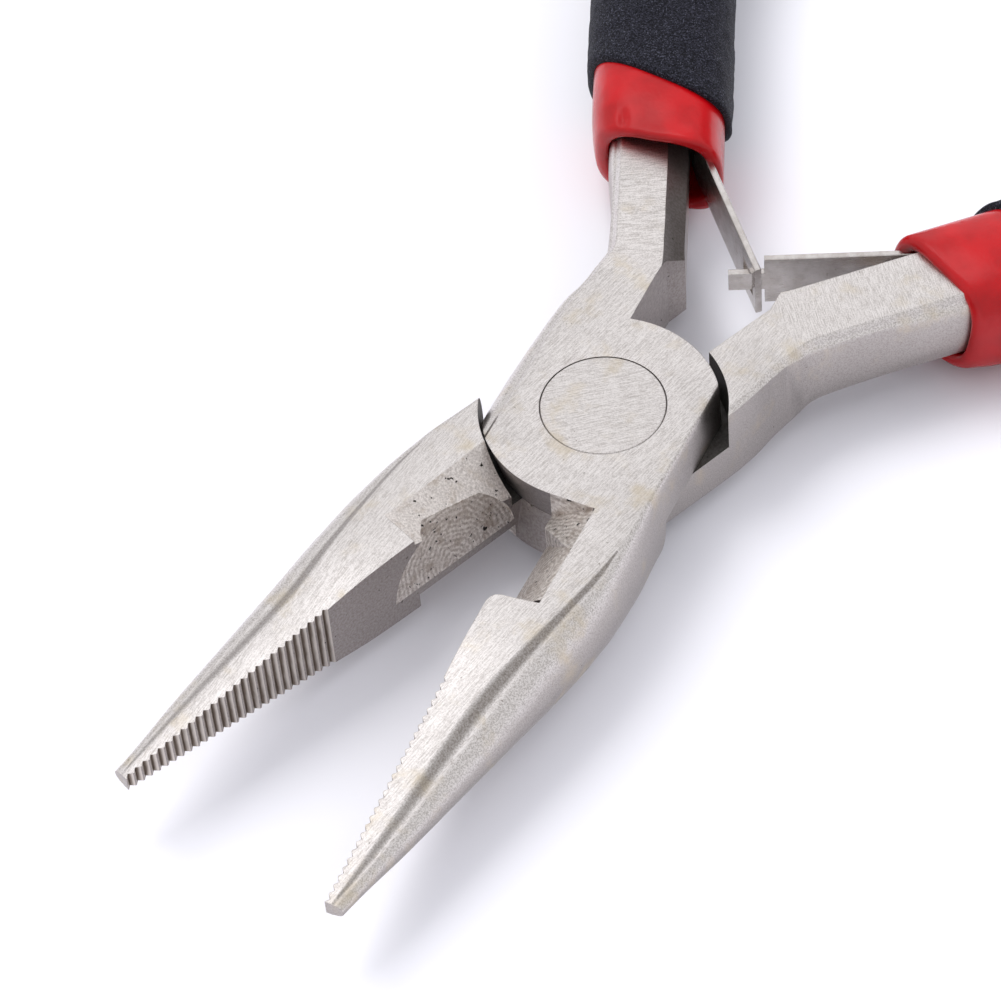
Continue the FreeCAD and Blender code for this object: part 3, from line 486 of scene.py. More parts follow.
def cut_relief(half, flipped):
    """Relieve the blade from below, on whichever face of the half ends up underneath."""
    if flipped:
        section = [(PAST_FACE, TOP - RELIEF_RISE), (0, TOP - RELIEF_RISE), (RELIEF_REACH, TOP),
                   (RELIEF_REACH, ABOVE), (PAST_FACE, ABOVE)]
    else:
        section = [(PAST_FACE, BELOW), (RELIEF_REACH, BELOW), (RELIEF_REACH, 0), (0, RELIEF_RISE),
                   (PAST_FACE, RELIEF_RISE)]
    carve(half, bar("Relief_Cutter", section, NOTCH_BACK, NOTCH_FRONT, MILLED))


def build_half(name, flipped):
    """One forged half, machined in the order in which its cuts meet."""
    half = forging(name)
    cut_front(half)
    cut_back(half)
    if flipped:
        cut_lower_crescent(half)
        cut_lower_side(half)
    else:
        cut_upper_notch(half)
    cut_relief(half, flipped)
    cut_lap(half)
    cut_teeth(half)
    cut_tang_bevel(half)
    smooth_by_angle(half, METAL_EDGE_ANGLE)
    sharpen_between_materials(half)
    side = side_name(flipped)
    place(half, rest_matrix(flipped), side + "_handle", side + "_half")


def build_rivet():
    """The joint rivet, filed flush, with a fine broken edge at both ends."""
    levels = ((0, RIVET_RADIUS - RIVET_EDGE), (RIVET_EDGE, RIVET_RADIUS),
              (TOP - RIVET_EDGE, RIVET_RADIUS), (TOP, RIVET_RADIUS - RIVET_EDGE))
    rings = [[(x, y, height) for x, y in arc(radius, 0, 358, 179)] for height, radius in levels]
    rivet = skin("Joint_Rivet", rings, RIVET)
    smooth_by_angle(rivet, METAL_EDGE_ANGLE)
    place(rivet, Matrix.Scale(MM, 4), "upper_handle", "pivot_rivet")


# ------------------------------------------------------------------ grips, in the handle's own frame
GRIP_POINTS = 112


def bowed(along, across, height):
    """A point beside the handle's base line, which is straight and then bows inwards."""
    if along <= BOW_START:
        return (across, along, height)
    angle = (along - BOW_START) / BOW_RADIUS
    radius = BOW_RADIUS - across
    return (BOW_RADIUS - radius * math.cos(angle), BOW_START + radius * math.sin(angle), height)


def grip_section(centre, half_width, half_height, power):
    """Points (across, height above mid-height) of a rounded rectangle."""
    points = []
    for index in range(GRIP_POINTS):
        turn = 2 * math.pi * (index + 0.5) / GRIP_POINTS
        cosine, sine = math.cos(turn), math.sin(turn)
        points.append((centre + half_width * math.copysign(abs(cosine) ** (2 / power), cosine),
                       half_height * math.copysign(abs(sine) ** (2 / power), sine)))
    return points


def end_round(radius, steps=8):
    """Pairs (set back, shrink) that round the closed end of a grip, from the middle outwards."""
    turns = (math.pi / 2 * (1 - index / steps) for index in range(steps + 1))
    return [(radius * (1 - math.sin(turn)), radius * (1 - math.cos(turn))) for turn in turns]


GRIP_OFFSET = 2.85
GRIP_SQUARENESS = 3.0
SLEEVE_HALF_WIDTH = 5.05
SLEEVE_HALF_HEIGHT = 4.75
SLEEVE_MOUTH = 26.3
# How far the mouth leans back for each mm across the handle and for each mm of height.
SLEEVE_MOUTH_SKEW = (0.28, 0.12)
SLEEVE_END = 88.6
SLEEVE_END_ROUND = 3.6
SLEEVE_RINGS = 129
LIP = 0.55
LIP_STEPS = 8
# How deep and how far the mouth is drawn in, and the sink mark's depth, place and size along and across.
DRAW_DEPTH = 0.55
DRAW_LENGTH = 2.6
DIMPLE_DEPTH = 0.4
DIMPLE_PLACE = (27.7, 0.2)
DIMPLE_SIZE = (0.6, 0.3)
# The room for the tang and the leaf inside the sleeve.
ROOM_CENTRE = 3.25
ROOM_HALF_WIDTH = 4.15
ROOM_HALF_HEIGHT = 3.75
ROOM_SQUARENESS = 4.5
ROOM_END = 44.0


def grip_ring(at, half_width, half_height):
    """A plain ring of a grip's skin, this far along the handle."""
    return [bowed(at, across, MIDDLE + height)
            for across, height in grip_section(GRIP_OFFSET, half_width, half_height, GRIP_SQUARENESS)]


def sleeve_mouth(across, height):
    """How far along the sleeve's mouth is: it is cut askew."""
    skew, lean = SLEEVE_MOUTH_SKEW
    return SLEEVE_MOUTH - skew * (across - GRIP_OFFSET) - lean * height


def drawn_in(along, across, height):
    """The sleeve's outside, drawn in near its mouth except on the side of the spring."""
    pull = DRAW_DEPTH * math.exp(-(max(along - SLEEVE_MOUTH, 0.0) / DRAW_LENGTH) ** 2)
    outward = min(1.0, max(0.0, (GRIP_OFFSET + 3.5 - across) / 4.0))
    factor = 1 - pull * outward / SLEEVE_HALF_HEIGHT
    return GRIP_OFFSET + (across - GRIP_OFFSET) * factor, height * factor


def dimple(along, across, height):
    """A small sink mark on the sleeve's upper face near its mouth."""
    if height < 0:
        return 0.0
    along_share = (along - DIMPLE_PLACE[0]) / DIMPLE_SIZE[0]
    across_share = (across - DIMPLE_PLACE[1]) / DIMPLE_SIZE[1]
    return DIMPLE_DEPTH * math.exp(-along_share ** 2 - across_share ** 2)


def build_sleeve(flipped):
    """A dipped sleeve with a rolled lip, open as far in as can be seen."""
    side = side_name(flipped)
    rings = []
    for set_back, shrink in end_round(SLEEVE_END_ROUND):
        rings.append(grip_ring(SLEEVE_END - set_back, SLEEVE_HALF_WIDTH - shrink,
                               SLEEVE_HALF_HEIGHT - shrink))
    start = SLEEVE_END - SLEEVE_END_ROUND
    section = grip_section(GRIP_OFFSET, SLEEVE_HALF_WIDTH, SLEEVE_HALF_HEIGHT, GRIP_SQUARENESS)
    for index in range(1, SLEEVE_RINGS + 1):
        share = index / SLEEVE_RINGS
        ring = []
        for across, height in section:
            mouth = sleeve_mouth(across, height) + LIP
            along = start + (mouth - start) * share
            sink = dimple(along, across, height)
            side_step, level = drawn_in(along, across, height)
            ring.append(bowed(along, side_step, MIDDLE + level - sink))
        rings.append(ring)
    for index in range(1, LIP_STEPS + 1):
        turn = math.pi * index / LIP_STEPS
        inset = LIP * (1 - math.cos(turn))
        section = grip_section(GRIP_OFFSET, SLEEVE_HALF_WIDTH - inset, SLEEVE_HALF_HEIGHT - inset,
                               GRIP_SQUARENESS)
        ring = []
        for across, height in section:
            along = sleeve_mouth(across, height) + LIP * (1 - math.sin(turn))
            side_step, level = drawn_in(along, across, height)
            ring.append(bowed(along, side_step, MIDDLE + level))
        rings.append(ring)
    room = grip_section(ROOM_CENTRE, ROOM_HALF_WIDTH, ROOM_HALF_HEIGHT, ROOM_SQUARENESS)
    for along in (SLEEVE_MOUTH + 1.6, SLEEVE_MOUTH + 3.0, ROOM_END):
        rings.append([bowed(along, across, MIDDLE + height) for across, height in room])
    sleeve = skin(side.capitalize() + "_Sleeve", rings, RED)
    smooth_by_angle(sleeve, 50)
    place(sleeve, rest_matrix(flipped, handle=True), side + "_handle", side + "_sleeve")


COVER_HALF_WIDTH = 5.6
COVER_HALF_HEIGHT = 5.2
COVER_END = 90.0
COVER_END_ROUND = 4.2
COVER_RINGS = 169
COVER_WALL = 0.5
COVER_EDGE_ROUND = 0.5
COVER_EDGE_STEPS = 6
COVER_ROOM_END = 40.0
# Two values each: on the outer side of the handle, and on its inner side.
COVER_FRONT = (34.5, 28.2)
COVER_FRONT_LEAN = (0.2, 0.44)


def cover_front(across, height):
    """How far along the cover's slanted front edge is, which also leans back towards its underside."""
    inner = (across - GRIP_OFFSET + COVER_HALF_WIDTH) / (2 * COVER_HALF_WIDTH)
    front, lean = (first + (last - first) * inner for first, last in (COVER_FRONT, COVER_FRONT_LEAN))
    return front + lean * (COVER_HALF_HEIGHT - height)


def build_cover(flipped):
    """The foamed outer cover with its slanted, slightly rounded front edge."""
    side = side_name(flipped)
    rings = []
    for set_back, shrink in end_round(COVER_END_ROUND):
        rings.append(grip_ring(COVER_END - set_back, COVER_HALF_WIDTH - shrink,
                               COVER_HALF_HEIGHT - shrink))
    start = COVER_END - COVER_END_ROUND
    section = grip_section(GRIP_OFFSET, COVER_HALF_WIDTH, COVER_HALF_HEIGHT, GRIP_SQUARENESS)
    for index in range(1, COVER_RINGS + 1):
        share = index / COVER_RINGS
        ring = []
        for across, height in section:
            along = start + (cover_front(across, height) + COVER_EDGE_ROUND - start) * share
            spot = Vector((across, along, height))
            swell = 0.10 * noise.noise(spot * 0.5) + 0.05 * noise.noise(spot * 1.7 + Vector((9, 4, 7)))
            grow = 1 + swell / COVER_HALF_WIDTH
            ring.append(bowed(along, GRIP_OFFSET + (across - GRIP_OFFSET) * grow,
                              MIDDLE + height * grow))
        rings.append(ring)
    for index in range(1, COVER_EDGE_STEPS + 1):
        turn = math.pi / 2 * index / COVER_EDGE_STEPS
        inset = COVER_WALL * (1 - math.cos(turn))
        section = grip_section(GRIP_OFFSET, COVER_HALF_WIDTH - inset, COVER_HALF_HEIGHT - inset,
                               GRIP_SQUARENESS)
        ring = []
        for across, height in section:
            along = cover_front(across, height) + COVER_EDGE_ROUND * (1 - math.sin(turn))
            ring.append(bowed(along, across, MIDDLE + height))
        rings.append(ring)
    inner = grip_section(GRIP_OFFSET, COVER_HALF_WIDTH - COVER_WALL, COVER_HALF_HEIGHT - COVER_WALL,
                         GRIP_SQUARENESS)
    rings.append([bowed(cover_front(across, height) + 3.0, across, MIDDLE + height)
                  for across, height in inner])
    rings.append([bowed(COVER_ROOM_END, across, MIDDLE + height) for across, height in inner])
    cover = skin(side.capitalize() + "_Grip_Cover", rings, BLACK)
    smooth_by_angle(cover, 60)
    place(cover, rest_matrix(flipped, handle=True), side + "_handle", side + "_grip_cover")


# ------------------------------------------------------------------ leaf springs, handle's own frame
LEAF_THICKNESS = 0.5
LEAF_HEIGHT = 4.6
LEAF_EDGE = 0.07
# Places (across, along) of the tail, of the bend's corner and of where the two leaves meet.
LEAF_TAIL = (5.51, 42.0)
LEAF_BEND = (5.51, 29.0)
LEAF_MEET = (10.16, 15.55)
LEAF_BEND_RADIUS = 12.0
TAIL_STEPS = 20
BEND_STEPS = 12
BLADE_STEPS = 24
# From where the leaves meet, overhangs are measured forwards, the slot's reach and the shoulder backwards.
SLOT_OVERHANG = 1.6
SLOT_REACH = (-0.99, 1.21)
SLOT_HALF_HEIGHT = 1.05
TONGUE_OVERHANG = 2.15
TONGUE_SHOULDER = 0.5
TONGUE_HALF_HEIGHT = 0.85
PAST_LEAF_EDGE = 3.0
PAST_LEAF_END = -3.5


def leaf_line(overhang):
    """Centre line of the strip, from its tail past the bend to its free end."""
    lean = math.atan2(LEAF_MEET[0] - LEAF_BEND[0], LEAF_BEND[1] - LEAF_MEET[1])
    tangent = LEAF_BEND_RADIUS * math.tan(lean / 2)
    first = LEAF_BEND[1] + tangent
    points = [(LEAF_TAIL[0], LEAF_TAIL[1] + (first - LEAF_TAIL[1]) * index / TAIL_STEPS)
              for index in range(TAIL_STEPS)]
    for index in range(BEND_STEPS + 1):
        turn = lean * index / BEND_STEPS
        points.append((LEAF_BEND[0] + LEAF_BEND_RADIUS * (1 - math.cos(turn)),
                       first - LEAF_BEND_RADIUS * math.sin(turn)))
    start = points[-1]
    end = (LEAF_MEET[0] + overhang * math.sin(lean), LEAF_MEET[1] - overhang * math.cos(lean))
    points += [(start[0] + (end[0] - start[0]) * index / BLADE_STEPS,
                start[1] + (end[1] - start[1]) * index / BLADE_STEPS)
               for index in range(1, BLADE_STEPS + 1)]
    return points, lean


def blade_box(name, lean, near, far, low, high):
    """A cutter across the blade: near and far are measured back from where the two leaves meet."""
    box = prism(name, [(-1, near), (1, near), (1, far), (-1, far)], low, high, SPRING)
    box.data.transform(Matrix.Translation((*LEAF_MEET, MIDDLE)) @ Matrix.Rotation(lean, 4, "Z"))
    return box


def build_leaf(flipped):
    """One leaf of the return spring: slotted on the upper handle, tongued on the lower one."""
    side = side_name(flipped)
    points, lean = leaf_line(TONGUE_OVERHANG if flipped else SLOT_OVERHANG)
    x, z = LEAF_THICKNESS / 2, LEAF_HEIGHT / 2
    inner_x, inner_z = x - LEAF_EDGE, z - LEAF_EDGE
    corners = [(x, -inner_z), (x, inner_z), (inner_x, z), (-inner_x, z), (-x, inner_z),
               (-x, -inner_z), (-inner_x, -z), (inner_x, -z)]
    rings = []
    for index, (across, along) in enumerate(points):
        before, after = points[max(index - 1, 0)], points[min(index + 1, len(points) - 1)]
        run = math.atan2(after[0] - before[0], before[1] - after[1])
        rings.append([(across + offset * math.cos(run), along + offset * math.sin(run), MIDDLE + height)
                      for offset, height in corners])
    leaf = skin(side.capitalize() + "_Leaf", rings, SPRING)
    if flipped:
        for low, high in ((TONGUE_HALF_HEIGHT, PAST_LEAF_EDGE), (-PAST_LEAF_EDGE, -TONGUE_HALF_HEIGHT)):
            carve(leaf, blade_box("Tongue_Cutter", lean, PAST_LEAF_END, TONGUE_SHOULDER, low, high))
    else:
        carve(leaf, blade_box("Slot_Cutter", lean, *SLOT_REACH, -SLOT_HALF_HEIGHT, SLOT_HALF_HEIGHT))
    smooth_by_angle(leaf, 30)
    at_rest = rest_matrix(flipped, handle=True)
    place(leaf, at_rest, None, side + "_leaf_spring")
    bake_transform(leaf)


# ------------------------------------------------------------------ materials
class Graph:
    """One procedural material.  Inputs are numbers, colours or the sockets of other nodes."""

    def __init__(self, name):
        self.material = bpy.data.materials.new(name)
        self.material.use_nodes = True
        self.tree = self.material.node_tree
        self.tree.nodes.clear()

    def add(self, kind, inputs=None, **settings):
        """A new node with its settings and its inputs set or linked."""
        made = self.tree.nodes.new("ShaderNode" + kind)
        for key, value in settings.items():
            setattr(made, key, value)
        for key, value in (inputs or {}).items():
            socket = made.inputs[key]
            if isinstance(value, bpy.types.NodeSocket):
                self.tree.links.new(value, socket)
            else:
                socket.default_value = value
        return made

    def own(self):
        """The point's place in its piece's own frame, in mm."""
        return self.add("Attribute", attribute_name="own").outputs["Vector"]

    def math(self, operation, *values):
        return self.add("Math", dict(enumerate(values)), operation=operation).outputs[0]

    def scaled(self, vector, x, y, z, turn=0.0):
        """The vector turned about Z and then stretched."""
        turned = self.add("VectorRotate", {"Vector": vector, "Angle": turn}, rotation_type="Z_AXIS")
        return self.add("VectorMath", {0: turned.outputs[0], 1: (x, y, z)},
                        operation="MULTIPLY").outputs[0]

    def noise(self, vector, scale, detail=3.0, roughness=0.5):
        return self.add("TexNoise", {"Vector": vector, "Scale": scale, "Detail": detail,
                                     "Roughness": roughness}).outputs["Fac"]

    def step(self, value, low, high):
        """0 below low, 1 above high and smooth between."""
        return self.add("MapRange", {"Value": value, "From Min": low, "From Max": high},
                        interpolation_type="SMOOTHSTEP").outputs[0]

    def mix(self, factor, first, second):
        """The first colour where the factor is 0 and the second where it is 1."""
        return self.add("Mix", {0: factor, 6: first, 7: second}, data_type="RGBA").outputs[2]

    def stain_and_painted_light(self, color, amount, strength, tint):
        """The colour turned towards a tint by the amount times the strength."""
        return self.mix(self.math("MULTIPLY", amount, strength), color, tint)

    def blend(self, factor, first, second):
        """Like mix, for numbers."""
        return self.add("Mix", {0: factor, 2: first, 3: second}).outputs[0]

    def bump(self, height, depth, normal=None):
        """A bump whose full height is given in mm."""
        inputs = {"Height": height, "Distance": depth * MM, "Strength": 1.0}
        if normal:
            inputs["Normal"] = normal
        return self.add("Bump", inputs).outputs[0]

    def finish(self, **inputs):
        """Close the material with a Principled shader."""
        names = {key: key.replace("_", " ") for key in inputs}
        shader = self.add("BsdfPrincipled", {names[key]: value for key, value in inputs.items()})
        output = self.add("OutputMaterial")
        self.tree.links.new(shader.outputs[0], output.inputs[0])
        return self.material


def rgb(red, green, blue, tone=1.0):
    return (red * tone, green * tone, blue * tone, 1.0)


def plated_steel(name, line_turn=0.0, tone=1.0, handle_lines=True, hollow=False):
    """Satin nickel plate: ground flats with fine lines, smoother forged sides, stains and pits, and painted
    shade on upright faces.

    In a hollow the plate is darkened wherever it slopes, a painted shade broken up by sandy grain.
    """
    graph = Graph(name)
    own = graph.own()
    along = graph.noise(graph.scaled(own, 11.0, 0.7, 1.0, line_turn), 1.0, 3.0, 0.6)
    fine = graph.noise(graph.scaled(own, 19.0, 2.2, 1.0, line_turn + 0.06), 1.0, 2.0)
    lines = graph.blend(0.6, along, graph.blend(0.5, fine, graph.noise(own, 9.0, 2.0)))
    if handle_lines:
        split = graph.add("SeparateXYZ", {0: own})
        reach = graph.math("ADD", graph.math("MULTIPLY", split.outputs[0], -math.sin(SPLAY)),
                           graph.math("MULTIPLY", split.outputs[1], math.cos(SPLAY)))
        across = graph.noise(graph.scaled(own, 1.0, 13.0, 1.0, -SPLAY - 0.12), 1.0, 3.0, 0.62)
        across = graph.blend(0.4, across, graph.noise(own, 9.0, 2.0))
        lines = graph.blend(graph.step(reach, 13.8, 14.8), lines, across)
    normal = graph.add("NewGeometry").outputs["Normal"]
    facing = graph.math("ABSOLUTE", graph.add("SeparateXYZ", {0: normal}).outputs[2])
    flat = graph.step(facing, 0.94, 0.985)
    grain = graph.noise(own, 9.0, 3.0, 0.7)
    height = graph.blend(flat, graph.math("MULTIPLY", grain, 0.6), lines)
    tint = graph.blend(flat, grain, lines)

    light = rgb(0.76, 0.725, 0.70, tone)
    dark = rgb(0.46, 0.425, 0.40, tone)
    color = graph.mix(graph.step(tint, 0.35, 0.61), dark, light)
    # painted shade: faces that stand upright are darkened towards a brown grey
    upright = graph.math("SUBTRACT", 1.0, graph.step(facing, 0.15, 0.6))
    color = graph.stain_and_painted_light(color, upright, 0.6, rgb(0.28, 0.25, 0.235))
    cloud = graph.noise(own, 0.28, 4.0, 0.6)
    color = graph.stain_and_painted_light(color, graph.step(cloud, 0.52, 0.75), 0.6, rgb(0.58, 0.49, 0.34))
    soot = graph.noise(own, 0.55, 5.0, 0.7)
    color = graph.stain_and_painted_light(color, graph.step(soot, 0.55, 0.8), 0.35, rgb(0.36, 0.33, 0.30))
    pits = graph.step(graph.noise(own, 3.1, 2.0, 0.5), 0.735, 0.78)
    color = graph.stain_and_painted_light(color, pits, 0.75, rgb(0.16, 0.13, 0.10))
    if hollow:
        # painted shade: sloping faces in the hollow are darkened, patchily with the sandy grain
        slope = graph.math("SUBTRACT", 1.0, graph.step(facing, 0.8, 0.98))
        sand = graph.blend(graph.step(graph.noise(own, 7.0, 3.0, 0.7), 0.35, 0.6), 0.9, 0.55)
        color = graph.stain_and_painted_light(color, slope, sand, rgb(0.20, 0.175, 0.155))
    roughness = graph.blend(flat, 0.38, graph.blend(lines, 0.38, 0.26))
    rounded = graph.add("Bevel", {"Radius": 0.09 * MM}, samples=4).outputs[0]
    bumped = graph.bump(graph.math("SUBTRACT", height, graph.math("MULTIPLY", pits, 0.8)), 0.016, rounded)
    return graph.finish(Base_Color=color, Metallic=1.0, Roughness=roughness, Normal=bumped)


def milled_steel(name):
    """Coarsely cut steel with sand-like grain, brown soot and the arcs of the milling cutter."""
    graph = Graph(name)
    own = graph.own()
    split = graph.add("SeparateXYZ", {0: own})
    along = graph.math("SUBTRACT", split.outputs[1], MILL_CENTRE[0])
    up = graph.math("SUBTRACT", split.outputs[2], MILL_CENTRE[1])
    reach = graph.math("SQRT", graph.math("ADD", graph.math("MULTIPLY", along, along),
                                          graph.math("MULTIPLY", up, up)))
    wobble = graph.math("MULTIPLY", graph.noise(own, 0.7, 2.0), 0.8)
    arcs = graph.math("SINE", graph.math("MULTIPLY", graph.math("ADD", reach, wobble), 17.0))
    grain = graph.noise(own, 4.2, 5.0, 0.7)
    coarse = graph.noise(own, 1.1, 3.0, 0.6)
    height = graph.math("ADD", graph.math("MULTIPLY", arcs, 0.07), grain)
    color = graph.mix(graph.step(height, 0.3, 0.72), rgb(0.5, 0.44, 0.4), rgb(0.95, 0.91, 0.87))
    color = graph.stain_and_painted_light(color, graph.step(coarse, 0.5, 0.7), 0.5, rgb(0.36, 0.28, 0.22))
    pits = graph.step(graph.noise(own, 2.6, 2.0), 0.66, 0.7)
    color = graph.mix(pits, color, rgb(0.035, 0.03, 0.028))
    bumped = graph.bump(graph.math("SUBTRACT", height, pits), 0.06)
    return graph.finish(Base_Color=color, Metallic=0.9, Roughness=0.45, Normal=bumped)


def worn_steel(name, tone=1.0):
    """A dull brownish grey with sandy grain and dark pits, for the recess and, darker as painted shade, for
    the lap.
    """
    graph = Graph(name)
    own = graph.own()
    grain = graph.noise(own, 6.5, 4.0, 0.7)
    color = graph.mix(graph.step(grain, 0.3, 0.72), rgb(0.50, 0.455, 0.425, tone),
                      rgb(0.86, 0.81, 0.77, tone))
    cloud = graph.noise(own, 0.8, 3.0, 0.6)
    color = graph.stain_and_painted_light(color, graph.step(cloud, 0.5, 0.72), 0.5, rgb(0.42, 0.34, 0.26, tone))
    pits = graph.step(graph.noise(own, 2.4, 2.0), 0.69, 0.73)
    color = graph.mix(pits, color, rgb(0.04, 0.035, 0.03))
    bumped = graph.bump(graph.math("SUBTRACT", grain, pits), 0.035)
    return graph.finish(Base_Color=color, Metallic=0.9, Roughness=0.5, Normal=bumped)


def ground_steel(name, tone=1.0):
    """Gripping faces, walls and the tang's bevel, the bevel in a darker copy that paints shade: dull grey,
    even, with a few dark specks.
    """
    graph = Graph(name)
    own = graph.own()
    grain = graph.noise(own, 5.0, 4.0, 0.65)
    color = graph.mix(graph.step(grain, 0.3, 0.7), rgb(0.30, 0.265, 0.25, tone),
                      rgb(0.44, 0.40, 0.385, tone))
    pits = graph.step(graph.noise(own, 2.2, 2.0), 0.7, 0.73)
    color = graph.mix(pits, color, rgb(0.05, 0.045, 0.04))
    rounded = graph.add("Bevel", {"Radius": 0.07 * MM}, samples=4).outputs[0]
    bumped = graph.bump(grain, 0.012, rounded)
    return graph.finish(Base_Color=color, Metallic=0.95, Roughness=0.42, Normal=bumped)


def toothed_steel(name):
    """The serrations: bright crests, and a patchily darker, browner colour deeper in the grooves."""
    graph = Graph(name)
    own = graph.own()
    depth = graph.math("DIVIDE", graph.add("SeparateXYZ", {0: own}).outputs[0], TOOTH_DEPTH)
    patchy = graph.noise(graph.scaled(own, 3.0, 3.0, 0.6), 1.0, 3.0)
    level = graph.math("ADD", depth, graph.math("MULTIPLY", graph.math("SUBTRACT", patchy, 0.5), 0.8))
    # the colour runs from the crests' grey to dark brown with depth into a groove
    color = graph.mix(graph.step(level, 0.1, 0.85), rgb(0.62, 0.57, 0.52), rgb(0.16, 0.125, 0.10))
    scores = graph.noise(graph.scaled(own, 1.0, 9.0, 0.3), 1.0, 3.0)
    bumped = graph.bump(scores, 0.03)
    return graph.finish(Base_Color=color, Metallic=0.9, Roughness=0.42, Normal=bumped)


def spring_steel(name):
    """Rolled strip: smooth satin faces with faint lines along the strip."""
    graph = Graph(name)
    own = graph.own()
    lines = graph.noise(graph.scaled(own, 1.2, 1.2, 9.0), 1.0, 4.0, 0.6)
    cloud = graph.noise(own, 0.9, 4.0, 0.6)
    color = graph.mix(graph.step(cloud, 0.35, 0.7), rgb(0.66, 0.625, 0.60), rgb(0.53, 0.49, 0.46))
    rounded = graph.add("Bevel", {"Radius": 0.08 * MM}, samples=4).outputs[0]
    bumped = graph.bump(lines, 0.006, rounded)
    return graph.finish(Base_Color=color, Metallic=1.0, Roughness=graph.blend(lines, 0.2, 0.32),
                        Normal=bumped)


def red_vinyl(name):
    """Dipped vinyl: deep red, glossy, with the faint unevenness of a dipped skin."""
    graph = Graph(name)
    own = graph.own()
    swell = graph.noise(own, 0.35, 3.0, 0.5)
    fine = graph.noise(own, 3.5, 3.0, 0.5)
    color = graph.mix(graph.step(swell, 0.3, 0.7), rgb(0.31, 0.001, 0.003), rgb(0.42, 0.002, 0.005))
    bumped = graph.bump(fine, 0.012, graph.bump(swell, 0.10))
    return graph.finish(Base_Color=color, Roughness=0.25, Normal=bumped, Specular_IOR_Level=0.34,
                        Subsurface_Weight=0.04, Subsurface_Scale=0.4 * MM)


def black_cover(name):
    """Foamed black rubber: fine leathery grain with small bluish glints painted into its colour."""
    graph = Graph(name)
    own = graph.own()
    creases = graph.noise(own, 1.5, 6.0, 0.75)
    grain = graph.noise(own, 6.0, 4.0, 0.7)
    height = graph.math("ADD", creases, graph.math("MULTIPLY", grain, 0.5))
    color = graph.mix(graph.step(grain, 0.42, 0.66), rgb(0.002, 0.002, 0.004), rgb(0.03, 0.03, 0.045))
    # painted highlights: small bluish glints mixed into the colour
    painted_glint = graph.step(graph.noise(own, 9.0, 2.0), 0.56, 0.68)
    color = graph.stain_and_painted_light(color, painted_glint, 0.7, rgb(0.12, 0.125, 0.17))
    bumped = graph.bump(height, 0.26)
    return graph.finish(Base_Color=color, Roughness=0.6, Normal=bumped, Specular_IOR_Level=0.15)


FORGED = plated_steel("Plated_Steel", line_turn=0.25)
# The hollows' copy adds painted shade on their slopes.
HOLLOW = plated_steel("Hollow_Steel", line_turn=0.25, hollow=True)
RIVET = plated_steel("Rivet_Steel", line_turn=0.7, tone=0.95, handle_lines=False)
GROUND = ground_steel("Ground_Steel")
# Darker copy for the tang's bevel: painted shade.
SHADED_BEVEL = ground_steel("Shaded_Bevel_Steel", tone=0.7)
WORN = worn_steel("Worn_Steel")
# A much darker copy for the lap step: painted shade.
SHADED_LAP = worn_steel("Shaded_Lap_Steel", tone=0.14)
MILLED = milled_steel("Milled_Steel")
TOOTHED = toothed_steel("Toothed_Steel")
SPRING = spring_steel("Spring_Steel")
RED = red_vinyl("Red_Vinyl")
BLACK = black_cover("Black_Cover")

# Every CAD node gets a material; the two spring rivets are the only ones that stay as the CAD has them.
for name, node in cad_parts.items():
    node.data.materials.clear()
    node.data.materials.append(SPRING if "rivet" in name else FORGED)

for name, flipped in (("Upper_Half", False), ("Lower_Half", True)):
    build_half(name, flipped)
build_rivet()
for flipped in (False, True):
    build_sleeve(flipped)
    build_cover(flipped)
    build_leaf(flipped)

# ------------------------------------------------------------------ floor, light and camera
# How high the floor is, in mm, and how wide it is, in metres.
FLOOR = -1.75
FLOOR_SIZE = 3.0


def floor():
    """A plain pale sheet under the tool."""
    reach = FLOOR_SIZE / 2
    corners = [(-reach, -reach, 0), (reach, -reach, 0), (reach, reach, 0), (-reach, reach, 0)]
    sheet = mesh_object("Studio_Floor", corners, [(0, 1, 2, 3)])
    sheet.data.transform(Matrix.Translation((0, 0, FLOOR * MM)))
    graph = Graph("Studio_Paper")
    sheet.data.materials.append(graph.finish(Base_Color=rgb(0.78, 0.78, 0.83), Roughness=0.9))


def area_light(name, spot, aim, size, power, color):
    """A rectangular lamp, in metres and watts, that the metals don't mirror."""
    data = bpy.data.lights.new(name, "AREA")
    data.shape = "RECTANGLE"
    data.size, data.size_y = size
    data.energy = power
    data.color = color
    lamp = bpy.data.objects.new(name, data)
    lamp.location = Vector(spot)
    lamp.rotation_euler = (Vector(aim) - Vector(spot)).to_track_quat("-Z", "Y").to_euler()
    lamp.visible_glossy = False
    bpy.context.scene.collection.objects.link(lamp)


# Each is a direction, the cosines at which it starts and is full, and the strength outside and inside.
DARK_SIDE = ((0.12, 0.99, 0.05), 0.78, 0.97, 0.9, 0.2)
BRIGHT_PANELS = (((-0.38, 0.12, 0.917), 0.925, 0.985, 0.0, 1.0),
                 ((-0.45, 0.72, 0.53), 0.95, 0.99, 0.0, 0.4))


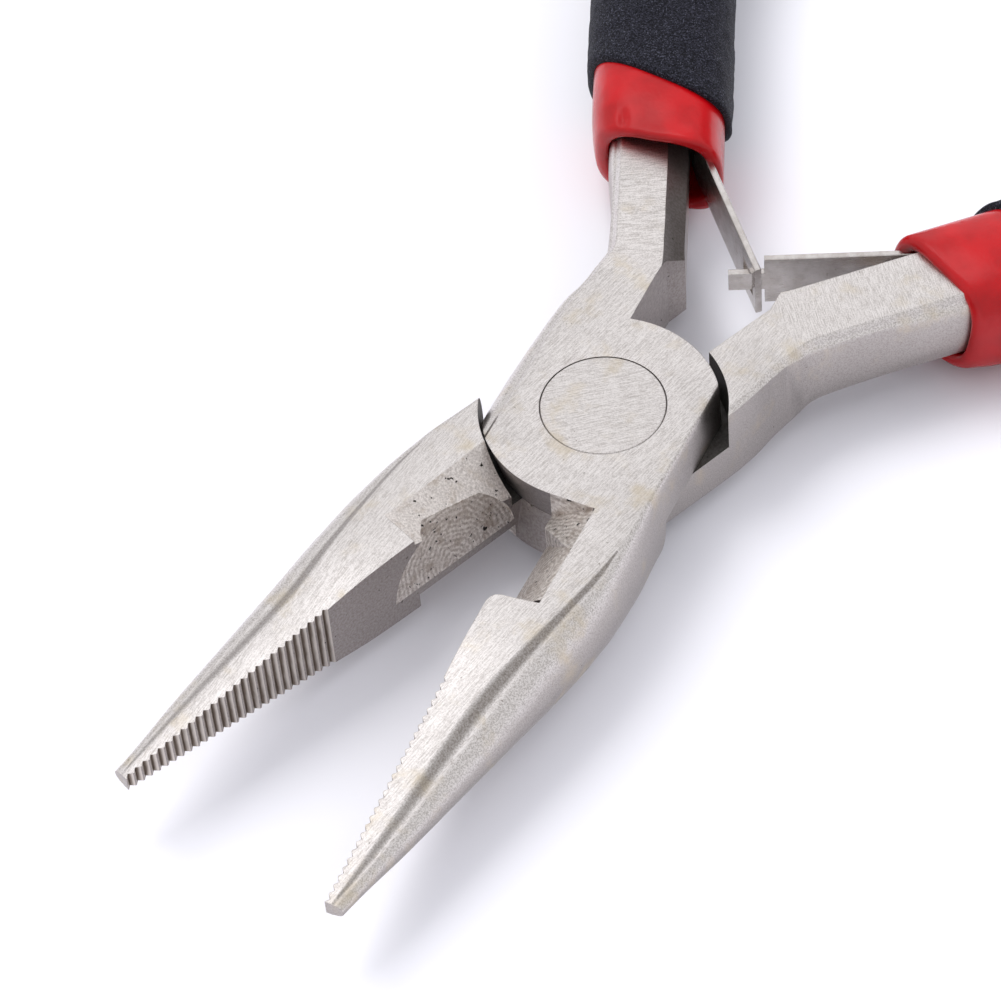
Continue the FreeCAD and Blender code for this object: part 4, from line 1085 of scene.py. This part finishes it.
def soft_patch(tree, direction, centre, *ranges):
    """A round patch of the surroundings with a smooth edge."""
    toward = tree.nodes.new("ShaderNodeVectorMath")
    toward.operation = "DOT_PRODUCT"
    toward.inputs[1].default_value = Vector(centre).normalized()
    tree.links.new(direction, toward.inputs[0])
    patch = tree.nodes.new("ShaderNodeMapRange")
    patch.interpolation_type = "SMOOTHSTEP"
    for key, value in zip(("From Min", "From Max", "To Min", "To Max"), ranges):
        patch.inputs[key].default_value = value
    tree.links.new(toward.outputs["Value"], patch.inputs["Value"])
    return patch.outputs[0]


def studio_world():
    """Soft white surroundings, dark low down behind, with brighter panels overhead and behind."""
    world = bpy.data.worlds.new("Studio_World")
    world.use_nodes = True
    tree = world.node_tree
    direction = tree.nodes.new("ShaderNodeTexCoord").outputs["Generated"]
    total = soft_patch(tree, direction, *DARK_SIDE)
    for panel in BRIGHT_PANELS:
        both = tree.nodes.new("ShaderNodeMath")
        tree.links.new(total, both.inputs[0])
        tree.links.new(soft_patch(tree, direction, *panel), both.inputs[1])
        total = both.outputs[0]
    background = tree.nodes["Background"]
    background.inputs["Color"].default_value = (0.97, 0.97, 1.0, 1.0)
    tree.links.new(total, background.inputs["Strength"])
    bpy.context.scene.world = world


floor()
studio_world()
area_light("Key", (-0.33, 0.08, 0.5), (0, 0, 0), (0.36, 0.36), 2.3, (1.0, 0.985, 0.96))
area_light("Fill", (0.12, 0.27, 0.22), (0.03, 0.07, 0), (0.2, 0.2), 0.36, (0.97, 0.97, 1.0))

# Place in mm and lens in mm on a 36 mm sensor.
CAMERA_PLACE = (115.36, -142.58, 221.68)
CAMERA_LENS = 143.86
CAMERA_AZIMUTH = math.radians(41.427)
CAMERA_ELEVATION = math.radians(50.716)
CAMERA_ROLL = math.radians(-5.477)

camera_data = bpy.data.cameras.new("Camera")
camera_data.lens = CAMERA_LENS
camera_data.sensor_width = 36.0
camera_data.clip_start = 0.01
camera = bpy.data.objects.new("Camera", camera_data)
bpy.context.scene.collection.objects.link(camera)
camera.matrix_world = (Matrix.Translation(Vector(CAMERA_PLACE) * MM)
                       @ Matrix.Rotation(CAMERA_AZIMUTH, 4, "Z")
                       @ Matrix.Rotation(math.pi / 2 - CAMERA_ELEVATION, 4, "X")
                       @ Matrix.Rotation(CAMERA_ROLL, 4, "Z"))
bpy.context.scene.camera = camera
bpy.context.scene.view_settings.view_transform = "Standard"
